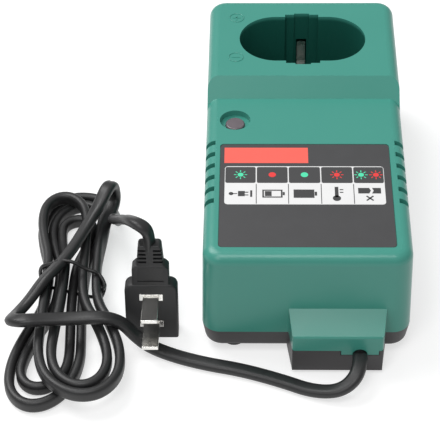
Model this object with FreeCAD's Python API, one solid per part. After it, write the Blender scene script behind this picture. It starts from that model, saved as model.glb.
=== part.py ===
# Desk charger for stick batteries of cordless tools, with its mains lead tied in a hank.
# Millimetres, +Z up, front towards -Y. Origin: middle of the charger's own box, at foot level.
import FreeCAD, Part
import math
import os

V = FreeCAD.Vector

# Case: outer sizes
BODY_W = 80.5          # width at the joint between the two shells
DECK_L = 96.2          # low front part, up to the foot of the sloping step
TOWER_L = 61.8         # raised part behind it, with the well
JOINT_Z = 12.5         # height of the joint between the shells
DECK_Z = 50.8          # top of the low front part
STEP_H = 7.0           # the raised part stands above it by this
STEP_RUN = 6.5         # how far the step slopes back
CORNER_R = 7.0         # upright corners in plan
TOP_R = 4.3            # rounding between the walls and the top
DRAFT = 0.02           # inward lean of the walls, mm per mm
WALL = 2.5             # wall of both shells
BASE_BOTTOM = 3.6      # underside of the base
BASE_INSET = 1.2       # the base narrows by this on each side
BASE_R = 2.6           # rounding under the base
FIT = 0.25             # clearance between moulded pieces
MELT = 1.0             # how far moulded features run into each other
CLEAR_OF = 5.0         # cutters stand out of what they cut by this
BODY_L = DECK_L + TOWER_L
TOWER_Z = DECK_Z + STEP_H

# Cord boss on the front
BOSS_OUT = 10.0        # stands out from the front face
BOSS_W = 34.6
BOSS_SIDE = 28.45      # its middle, from the right wall
BOSS_Z_FRONT = 19.6    # top at its front edge
BOSS_Z_BACK = 24.8     # top where it meets the front face
BOSS_BOTTOM = 1.8
BOSS_FLARE = 1.4       # each side widens by this towards the wall
BOSS_R = 1.2           # rounding of its front edges
BOSS_FLOOR = 0.4       # its floor lies this much under the floor of the base
EXIT_OFF = 8.5         # cord hole, to the right of the middle of the boss
EXIT_DOWN = 2.1        # and below the joint
EXIT_CLEAR = 0.6       # hole round the cord
TAB_W = 14.4           # green tab over the cord hole
TAB_DOWN = 2.1

# Battery well
WELL_BACK = 29.6       # its middle, from the back
WELL_W = 53.0
WELL_D = 31.0
WELL_FLOOR = 16.0
WELL_WALL = 2.0
WELL_KEY_WALL = 1.6    # wall behind the channels
KEY_W = 14.2           # key grooves in the front and back wall
KEY_DEEP = 1.6
CHANNEL_W = 6.4        # deeper channel in the middle of each key groove
CHANNEL_DEEP = 0.8
SLOT_W = 4.5           # window in the channel for the contact
SLOT_BOTTOM = 2.5      # above the floor of the well
SLOT_TOP = 44.4

# Contacts
LEAF_W = 3.6
LEAF_T = 0.5
LEAF_GAP = 0.7         # leaf to the outside of the well wall
LEAF_BOW = 3.6
LEAF_FOOT = 1.8        # foot below the pivot
LEAF_STRAIGHT = 8.5    # straight part above the pivot
LEAF_PEAK = 19.0       # top of the bow above the pivot
LEAF_FLAT = 0.9        # half length of the flat at the top of the bow
LEAF_SHOULDER = 3.2    # half length of the bow, up to its shoulders
LEAF_TIP = 1.6         # upright tip of the free end
LEAF_TOP = 31.0        # free end above the pivot
PIN_R = 1.6            # temperature contact in the floor of the well
PIN_UP = 2.6
PIN_DOWN = 2.2         # below the floor plate of the well
PIN_TRAVEL = 2.0
PIN_CLEAR = 0.08
PIN_DOME = 1.0
BLOCK_W = 18.0
BLOCK_H = 6.0
BLOCK_LIP = 2.0        # block outside the leaf
BLOCK_R = 1.0
BLOCK_SLOT = 0.45      # each side of the leaf
BLOCK_WEB = 1.0        # floor left under the slots
BLOCK_STAND = 2.0      # thickness of the two walls that carry it
BLOCK_STAND_IN = 4.0   # their middle, from its ends

# Indicator
LENS_SIDE = 12.25      # its middle, from the left wall
LENS_BACK = 13.9       # its middle, in front of the step
LENS_R = 3.9
LENS_RECESS_R = 6.2
LENS_RECESS = 2.6
LENS_UP = 1.0
LENS_EDGE = 0.7
LENS_HOLE = 0.1
LENS_SKIN = 2.0        # wall round and under the recess
LENS_COLLAR = 1.2
PIPE_R = 2.6
LED_R = 1.5
LED_H = 5.4
LED_GAP = 0.5          # lens to the tips of the LEDs
LED_APART = 0.4
LED_OFF = 1.0

# Rating plate, let into the deck
PLATE_LEFT = 6.65      # its edges, from the walls
PLATE_RIGHT = 7.05
PLATE_FRONT = 7.0
PLATE_BACK = 29.2      # its back edge, in front of the step
PLATE_T = 0.6
PLATE_R = 1.6
PLATE_CLEAR = 0.2
PLATE_SUNK = 0.1

# Vents
VENTS = 6
VENT_FIRST = 33.2      # middle of the first slot, from the front face
VENT_PITCH = 6.95
VENT_W = 2.6
VENT_EDGE = 4.55       # how far the slots reach in over the deck
VENT_DOWN = 14.0       # how far the slots reach down the side

# Feet and case screws
FOOT_R = 5.2
FOOT_TAPER = 0.7
FOOT_EDGE = 0.6
FOOT_PLUG_R = 3.6
FOOT_PLUG = 1.1
FOOT_CLEAR = 0.1
FOOT_SIDE = 12.25
FOOT_FRONT = 9.2
FOOT_BACK = 21.0
SCREW_SIDE = 9.25
SCREW_FRONT = 23.0
SCREW_BACK = 7.8
SCREW_R = 1.45
SCREW_HEAD_R = 2.8
SCREW_HEAD = 2.0
SCREW_SUNK = 0.4
SCREW_LEN = 15.0
SCREW_CLEAR = 0.2      # round the shank in the base
SCREW_BITE = 0.05      # round the shank in the pillar
CROSS_L = 3.4          # cross recess
CROSS_W = 0.7
CROSS_DEEP = 0.9
PILLAR_R = 3.8
PILLAR_GAP = 0.02

# Main board
BOARD_W = 58.5
BOARD_OFF = -1.25      # its middle, from the middle of the case
BOARD_CLEAR = 3.9      # its back end, in front of the wall of the well
BOARD_UP = 4.9         # above the floor of the base
BOARD_T = 1.6
BOARD_NOTCH = 0.6      # clearance where a screw pillar cuts into it
POST_R = 2.8
POST_SIDE = 6.5
POST_END = 4.0
POST_BORE_R = 1.05
POST_FLOOR = 0.4
POST_HOLE_R = 1.3
BOARD_SCREW_R = 1.0
BOARD_SCREW_DOWN = 4.0
BOARD_HEAD_R = 2.4
BOARD_HEAD = 1.6
BOARD_HEAD_EDGE = 0.6

# Transformer
TR_X = 2.0
TR_W = 30.0
TR_D = 12.0
TR_H = 27.0
TR_LEG = 8.0           # middle leg
TR_LIMB = 4.0          # outer legs and yokes
TR_UP = 2.0            # above the board
SPOOL_FIT = 0.4        # spool on the middle leg, both sides together
SPOOL_WALL = 0.8
SPOOL_LIP = 6.0        # flanges reach out from the leg by this
SPOOL_FLANGE = 1.0
SPOOL_GAP = 0.2        # flanges to the yokes
SPOOL_FOOT_W = 18.0
SPOOL_FOOT_D = 2.8
SPOOL_FOOT_IN = 3.6
WIND_OUT = 4.5         # thickness of the winding
WIND_GAP = 0.1

# Heat sinks and power devices
SINK_X = -2.0
SINK_W = 34.0
SINK_FINS = 7
SINK2_X = 10.5
SINK2_W = 22.0
SINK2_FINS = 5
SINK_T = 2.0
SINK_H = 26.0
FIN_T = 1.2
FIN_REACH = 7.5        # fins, from the middle of the plate
SINK_FRONT = 18.0      # room for the mains filter before the first heat sink
SINK2_BACK = 13.0      # front face of the second plate, from the board's back end
TR_GAP_BACK = 1.3      # transformer to the fins behind it
TR_GAP_FRONT = 3.3     # and to the fins before it
DEVICE_X = 4.0
DEVICE_W = 10.0
DEVICE_UP = 8.0
DEVICE_BODY = 9.0
DEVICE_TAB = 15.0
DEVICE_TAB_T = 1.3
DEVICE_T = 4.4
DEVICE_HOLE_R = 1.7
DEVICE_HOLE = 12.2     # above the lower edge of the tab
LEG_PITCH = 2.54
LEG_W = 0.8
LEG_T = 0.5
LEG_OUT = 2.4          # legs, from the face of the plate

# Other components on the board
CAN_R = 7.0
CAN_H = 26.0
CAN_GAP = 0.8          # can to the transformer
CAN_Y = -3.0           # from the middle of the transformer
CAN2_R = 4.0
CAN2_H = 18.0
CAN2_GAP = 2.0
CAN2_APART = 2.0
CAN_EDGE = 0.6
CAN_GROOVE = 0.7
CAN_GROOVE_Z = 2.8
CHOKE_X = -14.0
CHOKE_Y = 8.5          # from the board's front end
CHOKE_RING = 5.4
CHOKE_R = 2.6
CHOKE_GAP = 0.1
CHOKE_FOOT = 7.0
CHOKE_FOOT_D = 5.6
CHOKE_FOOT_H = 1.9
FILM_X = 18.0
FILM_Y = 8.0
FILM_W = 8.5
FILM_H = 13.0
FILM_EDGE = 0.8
FUSE_X = -5.0
FUSE_Y = 6.0
FUSE_L = 19.0
FUSE_R = 2.3
FUSE_UP = 4.0
CAP_R = 2.7
CAP_L = 5.0
CLIP_L = 3.0
CLIP_W = 3.6
CHIP_L = 19.2
CHIP_W = 6.4
CHIP_UP = 1.0
CHIP_T = 3.4
CHIP_PINS = 8          # each side
CHIP_GAP = 1.6         # chip to the second heat sink
CHIP_BACK = 5.2        # its back edge, from the board's back end
CHIP_PIN_OUT = 1.0
CHIP_PIN_H = 2.4
CHIP_PIN_IN = 0.1

# Cord clamp and the cord inside the case
CLAMP_W = 18.0
CLAMP_D = 6.0
CLAMP_H = 5.2
CLAMP_Y = 4.0          # from the front face
CLAMP_DOWN = 0.2       # its foot, below the middle of the cord
CLAMP_POST = 2.6
CLAMP_EDGE = 0.4
CLAMP_BITE = 0.15
SHEATH_PAST = 2.4      # sheath past the clamp
CORE_R = 0.8
CORE_SPLIT = 1.2
CORE_PAD = 1.9         # solder pads, from the board's front end
CORE_ASIDE = 4.2
CORE_RISE = 6.4

# Mains lead and plug
CORD_D = 4.6
HANK_X = -94.0
HANK_TOP = 66.5        # middle of the top lobes, from the front face of the case
HANK_WAIST = 34.0
HANK_BOTTOM = -9.0     # middle of the bottom lobes
HANK_LIFT = 1.3        # the tie under it keeps it off the table by this
HANK_STEP = 5.8        # from turn to turn in the lobes
WAIST_STEP = 5.8       # from strand to strand at the waist
HANK_LAYER = 5.4
HANK_TURNS = 2         # full turns of each layer
HANK_START_Z = 14.6
TOP_LOBE_R = 7.0       # side of the tightest lobe at the top
BOTTOM_LOBE_R = 9.0
TIE_T = 0.9
TIE_GAP = 0.4
TIE_OVER_X = -7.2      # strand that lies across the hank, from its middle
TIE_OVER_Z = 14.8
PLUG_X = -60.2
PLUG_FRONT = 9.0       # face of the plug, from the front face of the case
PLUG_W = 20.6
PLUG_H = 33.0
PLUG_T = 15.0
PLUG_R = 3.2
PLUG_EDGE = 1.3
NECK_W = 13.4
NECK_D = 12.0
NECK_D_TOP = 10.6
NECK_R = 1.8
NECK_TOP = 39.0
NECK_SLOPE = 2.4
RELIEF_W = 8.8
RELIEF_D = 7.4
RELIEF_TOP = 46.5
RELIEF_RIBS = 4
RIB_SHRINK = 0.35      # each rib is narrower than the one below
RIB_SHARE = 0.55       # rib to pitch
RIB_R = 2.4
CORE_BOTTOM_W = 6.8    # core of the strain relief under the ribs
CORE_TOP_W = 5.8
CORE_FLAT = 0.4
BLADE_W = 6.35
BLADE_T = 1.5
BLADE_OUT = 17.0
BLADE_ROOT = 4.0
BLADE_PITCH = 12.7
BLADE_LOW = 8.6        # middle of the lower blade
BLADE_BEVEL = 0.4
COLLAR_W = 9.2
COLLAR_H = 3.4
COLLAR_OUT = 0.5
COLLAR_R = 0.6

# Places that follow from the sizes
FRONT = -(BODY_L + BOSS_OUT) / 2 + BOSS_OUT
BACK = FRONT + BODY_L
STEP_Y = FRONT + DECK_L
EXIT_Y = FRONT - BOSS_OUT
BOSS_X = BODY_W / 2 - BOSS_SIDE
EXIT_X = BOSS_X + EXIT_OFF
EXIT_Z = JOINT_Z - EXIT_DOWN
BASE_FLOOR = BASE_BOTTOM + WALL
WELL_MID = BACK - WELL_BACK
WELL_HALF = WELL_D / 2 + KEY_DEEP + CHANNEL_DEEP + WELL_KEY_WALL
LEAF_Y = WELL_HALF + LEAF_GAP
BLOCK_TOP = WELL_FLOOR - WELL_WALL
BLOCK_BOTTOM = BLOCK_TOP - BLOCK_H
BLOCK_HALF = LEAF_Y + BLOCK_LIP
LEAF_PIVOT_Z = BLOCK_TOP - BLOCK_H / 2
LENS_X = -BODY_W / 2 + LENS_SIDE
LENS_Y = STEP_Y - LENS_BACK
LENS_FLOOR = DECK_Z - LENS_RECESS
BOARD_Z = BASE_FLOOR + BOARD_UP
BOARD_TOP = BOARD_Z + BOARD_T
TR_HALF = (TR_D + SPOOL_FIT) / 2 + SPOOL_LIP
BOARD_Y1 = WELL_MID - WELL_HALF - BOARD_CLEAR
SINK2_Y = BOARD_Y1 - SINK2_BACK
TR_Y = SINK2_Y + SINK_T / 2 - FIN_REACH - TR_GAP_BACK - TR_HALF
SINK_Y = TR_Y - TR_HALF - TR_GAP_FRONT - FIN_REACH - SINK_T / 2
BOARD_Y0 = SINK_Y - SINK_FRONT
PLUG_Y = FRONT + PLUG_FRONT
PLUG_MID = PLUG_Y + PLUG_T / 2
BLADE_HEIGHTS = (BLADE_LOW, BLADE_LOW + BLADE_PITCH)


def rounded(x0, y0, x1, y1, r, z):
    """Wire of a rectangle with round corners."""
    r = min(r, (x1 - x0) / 2 - 0.01, (y1 - y0) / 2 - 0.01)
    k = r * (1 - math.sqrt(0.5))
    edges = [
        Part.LineSegment(V(x0 + r, y0, z), V(x1 - r, y0, z)),
        Part.Arc(V(x1 - r, y0, z), V(x1 - k, y0 + k, z), V(x1, y0 + r, z)),
        Part.LineSegment(V(x1, y0 + r, z), V(x1, y1 - r, z)),
        Part.Arc(V(x1, y1 - r, z), V(x1 - k, y1 - k, z), V(x1 - r, y1, z)),
        Part.LineSegment(V(x1 - r, y1, z), V(x0 + r, y1, z)),
        Part.Arc(V(x0 + r, y1, z), V(x0 + k, y1 - k, z), V(x0, y1 - r, z)),
        Part.LineSegment(V(x0, y1 - r, z), V(x0, y0 + r, z)),
        Part.Arc(V(x0, y0 + r, z), V(x0 + k, y0 + k, z), V(x0 + r, y0, z)),
    ]
    return Part.Wire([e.toShape() for e in edges])


def centred(w, d, r, z, x, y):
    """The same, by its size and its middle."""
    return rounded(x - w / 2, y - d / 2, x + w / 2, y + d / 2, r, z)


def raised(wire, height):
    return Part.Face(wire).extrude(V(0, 0, height))


def body_slab(inset, z0, z1, lean0, lean1):
    """Round-cornered block of the case's plan, leaning in by lean0 at z0 and lean1 at z1."""
    wires = []
    for z, lean in ((z0, lean0), (z1, lean1)):
        i = inset + lean
        r = max(CORNER_R - inset, 0.8)
        wires.append(rounded(-BODY_W / 2 + i, FRONT + i, BODY_W / 2 - i, BACK - i, r, z))
    return Part.makeLoft(wires, True, True)


def box(x0, y0, z0, x1, y1, z1):
    return Part.makeBox(x1 - x0, y1 - y0, z1 - z0, V(x0, y0, z0))


def block(w, d, x, y, z0, z1):
    """Box by its width, its depth and its middle."""
    return box(x - w / 2, y - d / 2, z0, x + w / 2, y + d / 2, z1)


def tube(r, z0, z1, x, y):
    return Part.makeCylinder(r, z1 - z0, V(x, y, z0))


def rod_y(r, y0, y1, x, z):
    return Part.makeCylinder(r, y1 - y0, V(x, y0, z), V(0, 1, 0))


def rod_x(r, x0, x1, y, z):
    return Part.makeCylinder(r, x1 - x0, V(x0, y, z), V(1, 0, 0))


def profile_x(points, x0, x1):
    """Outline in Y and Z, pushed along X."""
    pts = [V(x0, y, z) for y, z in points]
    face = Part.Face(Part.makePolygon(pts + pts[:1]))
    return face.extrude(V(x1 - x0, 0, 0))


def stadium(w, d, z0, z1):
    return raised(centred(w, d, d / 2 - 0.02, z0, 0, WELL_MID), z1 - z0)


def fillet(solid, r, test):
    edges = [e for e in solid.Edges if test(e.BoundBox)]
    return solid.makeFillet(r, edges)


def save(name, shape):
    shape = shape.removeSplitter() if shape.ShapeType == "Solid" else shape
    shape.exportStep("parts/%s.step" % name)


def group(solids):
    return solids[0] if len(solids) == 1 else Part.makeCompound(solids)


def one(shape):
    """The largest solid that a cut or a union left."""
    return max(shape.Solids, key=lambda solid: solid.Volume)


def below(z):
    """All the space under a height."""
    span = BODY_L + BODY_W
    return box(-span, -span, -span, span, span, z)


# Case shells
def case_outline(inset, rim_r):
    """The top shell's mass: low deck, and a tower cut by the sloping step. Inset, it is the inside."""
    deck = body_slab(inset, JOINT_Z, DECK_Z - inset, 0.0, DRAFT * (DECK_Z - JOINT_Z))
    tower = body_slab(inset, JOINT_Z, TOWER_Z - inset, 0.0, DRAFT * (TOWER_Z - JOINT_Z))
    if rim_r:
        deck = fillet(deck, rim_r, lambda b: b.ZMin > DECK_Z - inset - 0.01)
        tower = fillet(tower, rim_r, lambda b: b.ZMin > TOWER_Z - inset - 0.01)
    normal_share = math.cos(math.atan2(STEP_H, STEP_RUN))
    foot = STEP_Y + inset * normal_share
    slope = STEP_RUN / STEP_H
    reach = STEP_H + CLEAR_OF
    z = DECK_Z - inset
    before = profile_x([
        (FRONT - CLEAR_OF, JOINT_Z - CLEAR_OF),
        (foot - slope * reach, JOINT_Z - CLEAR_OF),
        (foot - slope * reach, z - reach),
        (foot + slope * reach, z + reach),
        (FRONT - CLEAR_OF, z + reach),
    ], -BODY_W, BODY_W)
    return deck.fuse(tower.cut(before))


def boss_outline(inset, z0):
    """Cord boss: sloping top, front face and flared sides."""
    x0 = BOSS_X - BOSS_W / 2 + inset
    x1 = BOSS_X + BOSS_W / 2 - inset
    y0 = EXIT_Y + inset
    back = FRONT + WALL + MELT
    flare = BOSS_FLARE * (back - y0) / BOSS_OUT
    plan = [(x0, y0), (x1, y0), (x1 + flare, back), (x0 - flare, back), (x0, y0)]
    mass = raised(Part.makePolygon([V(x, y, z0) for x, y in plan]), DECK_Z - z0)
    slope = (BOSS_Z_BACK - BOSS_Z_FRONT) / BOSS_OUT
    z_at = BOSS_Z_FRONT - inset
    roof = profile_x([
        (EXIT_Y - CLEAR_OF, z_at - CLEAR_OF * slope),
        (back + CLEAR_OF, z_at + (back + CLEAR_OF - EXIT_Y) * slope),
        (back + CLEAR_OF, DECK_Z + CLEAR_OF),
        (EXIT_Y - CLEAR_OF, DECK_Z + CLEAR_OF),
    ], x0 - BOSS_W, x1 + BOSS_W)
    return mass.cut(roof)


def pillars():
    x = BODY_W / 2 - SCREW_SIDE
    return [(side * x, y) for y in (FRONT + SCREW_FRONT, BACK - SCREW_BACK) for side in (-1, 1)]


def feet_places():
    x = BODY_W / 2 - FOOT_SIDE
    return [(side * x, y) for y in (FRONT + FOOT_FRONT, BACK - FOOT_BACK) for side in (-1, 1)]


def board_posts():
    x = BOARD_W / 2 - POST_SIDE
    ys = (BOARD_Y0 + POST_END, BOARD_Y1 - POST_END)
    return [(BOARD_OFF + side * x, y) for y in ys for side in (-1, 1)]


def well_outer():
    z0 = WELL_FLOOR - WELL_WALL
    z1 = TOWER_Z - WALL / 2
    cup = stadium(WELL_W + 2 * WELL_WALL, WELL_D + 2 * WELL_WALL, z0, z1)
    return cup.fuse(block(KEY_W + 2 * WELL_WALL, 2 * WELL_HALF, 0, WELL_MID, z0, z1))


def well_hollow():
    z1 = TOWER_Z + CLEAR_OF
    key = WELL_D + 2 * KEY_DEEP
    hollow = stadium(WELL_W, WELL_D, WELL_FLOOR, z1)
    hollow = hollow.fuse(block(KEY_W, key, 0, WELL_MID, WELL_FLOOR, z1))
    return hollow.fuse(block(CHANNEL_W, key + 2 * CHANNEL_DEEP, 0, WELL_MID, WELL_FLOOR, z1))


def vents():
    cuts = []
    inner = BODY_W / 2 - VENT_EDGE
    outer = BODY_W / 2 + CLEAR_OF
    for i in range(VENTS):
        y = FRONT + VENT_FIRST + i * VENT_PITCH
        for side in (-1, 1):
            x = side * (inner + outer) / 2
            cuts.append(block(outer - inner, VENT_W, x, y, DECK_Z - VENT_DOWN, DECK_Z + CLEAR_OF))
    return Part.makeCompound(cuts)


def cord_bore():
    return rod_y(CORD_D / 2 + EXIT_CLEAR, EXIT_Y - CLEAR_OF, FRONT + CLEAR_OF, EXIT_X, EXIT_Z)


def tab(extra):
    """Tab of the top shell that drops over the cord hole."""
    return box(EXIT_X - TAB_W / 2 - extra, EXIT_Y, JOINT_Z - TAB_DOWN - extra,
               EXIT_X + TAB_W / 2 + extra, EXIT_Y + WALL + extra, JOINT_Z + extra)


def top_housing():
    boss = boss_outline(0.0, JOINT_Z)
    boss = fillet(boss, BOSS_R, lambda b: b.YMax < EXIT_Y + 0.1 and b.ZMax > JOINT_Z + 1)
    outer = case_outline(0.0, TOP_R).fuse(boss)
    shell = outer.cut(case_outline(WALL, 0.0)).cut(boss_outline(WALL, JOINT_Z - MELT))
    shell = shell.fuse(tab(0.0)).fuse(well_outer())
    shell = shell.fuse(tube(LENS_RECESS_R + LENS_SKIN, LENS_FLOOR - LENS_SKIN, DECK_Z - MELT, LENS_X, LENS_Y))
    for x, y in pillars():
        roof = DECK_Z if y < STEP_Y else TOWER_Z
        shell = shell.fuse(tube(PILLAR_R, JOINT_Z, roof - WALL + 0.5, x, y))
    shell = shell.cut(well_hollow())
    for side in (-1, 1):
        y = WELL_MID + side * (WELL_D / 2 + KEY_DEEP)
        shell = shell.cut(block(SLOT_W, 2 * CLEAR_OF, 0, y, WELL_FLOOR + SLOT_BOTTOM, SLOT_TOP))
    shell = shell.cut(tube(PIN_R + PIN_CLEAR, BLOCK_TOP - MELT, WELL_FLOOR + MELT, 0, WELL_MID))
    shell = shell.cut(tube(LENS_RECESS_R, LENS_FLOOR, DECK_Z + CLEAR_OF, LENS_X, LENS_Y))
    shell = shell.cut(tube(LENS_R + LENS_HOLE, LENS_FLOOR - CLEAR_OF, DECK_Z, LENS_X, LENS_Y))
    shell = shell.cut(raised(plate_outline(PLATE_CLEAR), CLEAR_OF))
    shell = shell.cut(vents())
    for x, y in pillars():
        shell = shell.cut(tube(SCREW_R + SCREW_BITE, JOINT_Z - MELT, SCREW_LEN + BASE_FLOOR + MELT, x, y))
    return one(shell.cut(cord_bore()))


def base_housing():
    outer = body_slab(0.0, BASE_BOTTOM, JOINT_Z, BASE_INSET, 0.0)
    outer = fillet(outer, BASE_R, lambda b: b.ZMax < BASE_BOTTOM + 0.01)
    outer = outer.fuse(boss_outline(0.0, BOSS_BOTTOM).common(below(JOINT_Z)))
    shell = outer.cut(body_slab(WALL, BASE_FLOOR, JOINT_Z + MELT, BASE_INSET, 0.0))
    shell = shell.cut(boss_outline(WALL, BASE_FLOOR - BOSS_FLOOR).common(below(JOINT_Z + MELT)))
    for x, y in pillars():
        shell = shell.fuse(tube(PILLAR_R, BASE_FLOOR - MELT, JOINT_Z - PILLAR_GAP, x, y))
    for x, y in board_posts():
        shell = shell.fuse(tube(POST_R, BASE_FLOOR - MELT, BOARD_Z, x, y))
    for side in (-1, 1):
        y = WELL_MID + side * (BLOCK_HALF - BLOCK_STAND_IN)
        shell = shell.fuse(block(BLOCK_W, BLOCK_STAND, 0, y, BASE_FLOOR - MELT, BLOCK_BOTTOM))
    for side in (-1, 1):
        x = EXIT_X + side * (CLAMP_W - CLAMP_POST) / 2
        y = FRONT + CLAMP_Y + CLAMP_D / 2
        depth = CLAMP_D + 2 * CLAMP_EDGE
        shell = shell.fuse(block(CLAMP_POST, depth, x, y, BASE_FLOOR - MELT, EXIT_Z - CLAMP_DOWN))
    for x, y in pillars():
        under = BASE_BOTTOM - CLEAR_OF
        shell = shell.cut(tube(SCREW_R + SCREW_CLEAR, under, JOINT_Z + MELT, x, y))
        shell = shell.cut(tube(SCREW_HEAD_R + FIT, under, BASE_BOTTOM + SCREW_SUNK + SCREW_HEAD, x, y))
    for x, y in board_posts():
        shell = shell.cut(tube(POST_BORE_R, BASE_FLOOR + POST_FLOOR, BOARD_Z + MELT, x, y))
    for x, y in feet_places():
        roof = BASE_BOTTOM + FOOT_PLUG + FOOT_CLEAR
        shell = shell.cut(tube(FOOT_PLUG_R + FOOT_CLEAR, BASE_BOTTOM - CLEAR_OF, roof, x, y))
    return one(shell.cut(tab(FIT)).cut(cord_bore()))


def rubber_feet():
    feet = []
    for x, y in feet_places():
        disc = Part.makeCone(FOOT_R - FOOT_TAPER, FOOT_R, BASE_BOTTOM, V(x, y, 0))
        disc = fillet(disc, FOOT_EDGE, lambda b: b.ZMax < 0.1)
        plug = tube(FOOT_PLUG_R, BASE_BOTTOM, BASE_BOTTOM + FOOT_PLUG, x, y)
        feet.append(one(disc.fuse(plug)))
    return group(feet)


def case_screws():
    screws = []
    z = BASE_BOTTOM + SCREW_SUNK
    for x, y in pillars():
        head = tube(SCREW_HEAD_R, z, z + SCREW_HEAD, x, y)
        cross = block(CROSS_L, CROSS_W, x, y, z - MELT, z + CROSS_DEEP)
        cross = cross.fuse(block(CROSS_W, CROSS_L, x, y, z - MELT, z + CROSS_DEEP))
        shank = tube(SCREW_R, z + SCREW_HEAD, z + SCREW_LEN, x, y)
        screws.append(one(head.fuse(shank).cut(cross)))
    return group(screws)


# Contacts of the well
def contact_block():
    holder = block(BLOCK_W, 2 * BLOCK_HALF, 0, WELL_MID, BLOCK_BOTTOM, BLOCK_TOP)
    holder = fillet(holder, BLOCK_R, lambda b: b.ZLength > BLOCK_H - 0.1)
    for side in (-1, 1):
        y = WELL_MID + side * LEAF_Y
        slot_w = LEAF_W + SPOOL_FIT
        slot_t = LEAF_T + 2 * BLOCK_SLOT
        holder = holder.cut(block(slot_w, slot_t, 0, y, BLOCK_BOTTOM + BLOCK_WEB, BLOCK_TOP + MELT))
    depth = PIN_DOWN + PIN_TRAVEL + 2 * PIN_CLEAR
    return one(holder.cut(tube(PIN_R + PIN_CLEAR, BLOCK_TOP - depth, BLOCK_TOP + MELT, 0, WELL_MID)))


def leaf(side):
    """Leaf contact: foot in the block, straight back and a bow that enters the well through its window."""
    path = [
        (0.0, -LEAF_FOOT),
        (0.0, LEAF_STRAIGHT),
        (LEAF_BOW * 0.72, LEAF_PEAK - LEAF_SHOULDER),
        (LEAF_BOW, LEAF_PEAK - LEAF_FLAT),
        (LEAF_BOW, LEAF_PEAK + LEAF_FLAT),
        (LEAF_BOW * 0.72, LEAF_PEAK + LEAF_SHOULDER),
        (LEAF_BOW * 0.2, LEAF_TOP - LEAF_TIP),
        (LEAF_BOW * 0.12, LEAF_TOP),
    ]
    near = [(u - LEAF_T / 2, w) for u, w in path]
    far = [(u + LEAF_T / 2, w) for u, w in reversed(path)]
    y0 = WELL_MID + side * LEAF_Y
    outline = [(y0 - side * u, LEAF_PIVOT_Z + w) for u, w in near + far]
    return profile_x(outline, -LEAF_W / 2, LEAF_W / 2)


def temperature_pin():
    top = WELL_FLOOR + PIN_UP
    pin = tube(PIN_R, BLOCK_TOP - PIN_DOWN, top, 0, WELL_MID)
    return fillet(pin, PIN_DOME, lambda b: b.ZMin > top - 0.1)


# Indicator and plate
def led_lens():
    top = LENS_FLOOR + LENS_UP
    under = LENS_FLOOR - LENS_SKIN
    head = fillet(tube(LENS_R, under, top, LENS_X, LENS_Y), LENS_EDGE, lambda b: b.ZMin > top - 0.1)
    collar = tube(LENS_R + LENS_COLLAR, under - LENS_COLLAR, under, LENS_X, LENS_Y)
    pipe = tube(PIPE_R, BOARD_TOP + LED_H + LED_R + LED_GAP, under - LENS_COLLAR, LENS_X, LENS_Y)
    return one(head.fuse(collar).fuse(pipe))


def status_leds():
    leds = []
    for side in (-1, 1):
        x = LENS_X + LED_OFF + side * (LED_R + LED_APART / 2)
        body = tube(LED_R, BOARD_TOP, BOARD_TOP + LED_H, x, LENS_Y)
        dome = Part.makeSphere(LED_R, V(x, LENS_Y, BOARD_TOP + LED_H))
        leds.append(one(body.fuse(dome)))
    return group(leds)


def plate_outline(extra):
    return rounded(-BODY_W / 2 + PLATE_LEFT - extra, FRONT + PLATE_FRONT - extra,
                   BODY_W / 2 - PLATE_RIGHT + extra, STEP_Y - PLATE_BACK + extra, PLATE_R, DECK_Z - PLATE_T)


def rating_plate():
    return raised(plate_outline(0.0), PLATE_T - PLATE_SUNK)


# Electronics
def main_board():
    y = (BOARD_Y0 + BOARD_Y1) / 2
    board = block(BOARD_W, BOARD_Y1 - BOARD_Y0, BOARD_OFF, y, BOARD_Z, BOARD_TOP)
    for x, y in board_posts():
        board = board.cut(tube(POST_HOLE_R, BOARD_Z - MELT, BOARD_TOP + MELT, x, y))
    for x, y in pillars():
        board = board.cut(tube(PILLAR_R + BOARD_NOTCH, BOARD_Z - MELT, BOARD_TOP + MELT, x, y))
    return one(board)


def board_screws():
    screws = []
    top = BOARD_TOP + BOARD_HEAD
    for x, y in board_posts():
        head = fillet(tube(BOARD_HEAD_R, BOARD_TOP, top, x, y), BOARD_HEAD_EDGE, lambda b: b.ZMin > top - 0.1)
        shank = tube(BOARD_SCREW_R, BOARD_Z - BOARD_SCREW_DOWN, BOARD_TOP, x, y)
        screws.append(one(head.fuse(shank)))
    return group(screws)


def transformer_core():
    """Two E halves: frame with a middle leg and two windows."""
    z = BOARD_TOP + TR_UP
    core = block(TR_W, TR_D, TR_X, TR_Y, z, z + TR_H)
    window = (TR_W - TR_LEG) / 2 - TR_LIMB
    for side in (-1, 1):
        x = TR_X + side * (TR_LEG + window) / 2
        core = core.cut(block(window, 2 * TR_D, x, TR_Y, z + TR_LIMB, z + TR_H - TR_LIMB))
    return one(core)


def ring_box(w, d, hole_w, hole_d, z0, z1, r):
    """Round-cornered ring about the middle leg of the transformer."""
    outer = raised(centred(w, d, r, z0, TR_X, TR_Y), z1 - z0)
    return outer.cut(block(hole_w, hole_d, TR_X, TR_Y, z0 - MELT, z1 + MELT))


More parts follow.
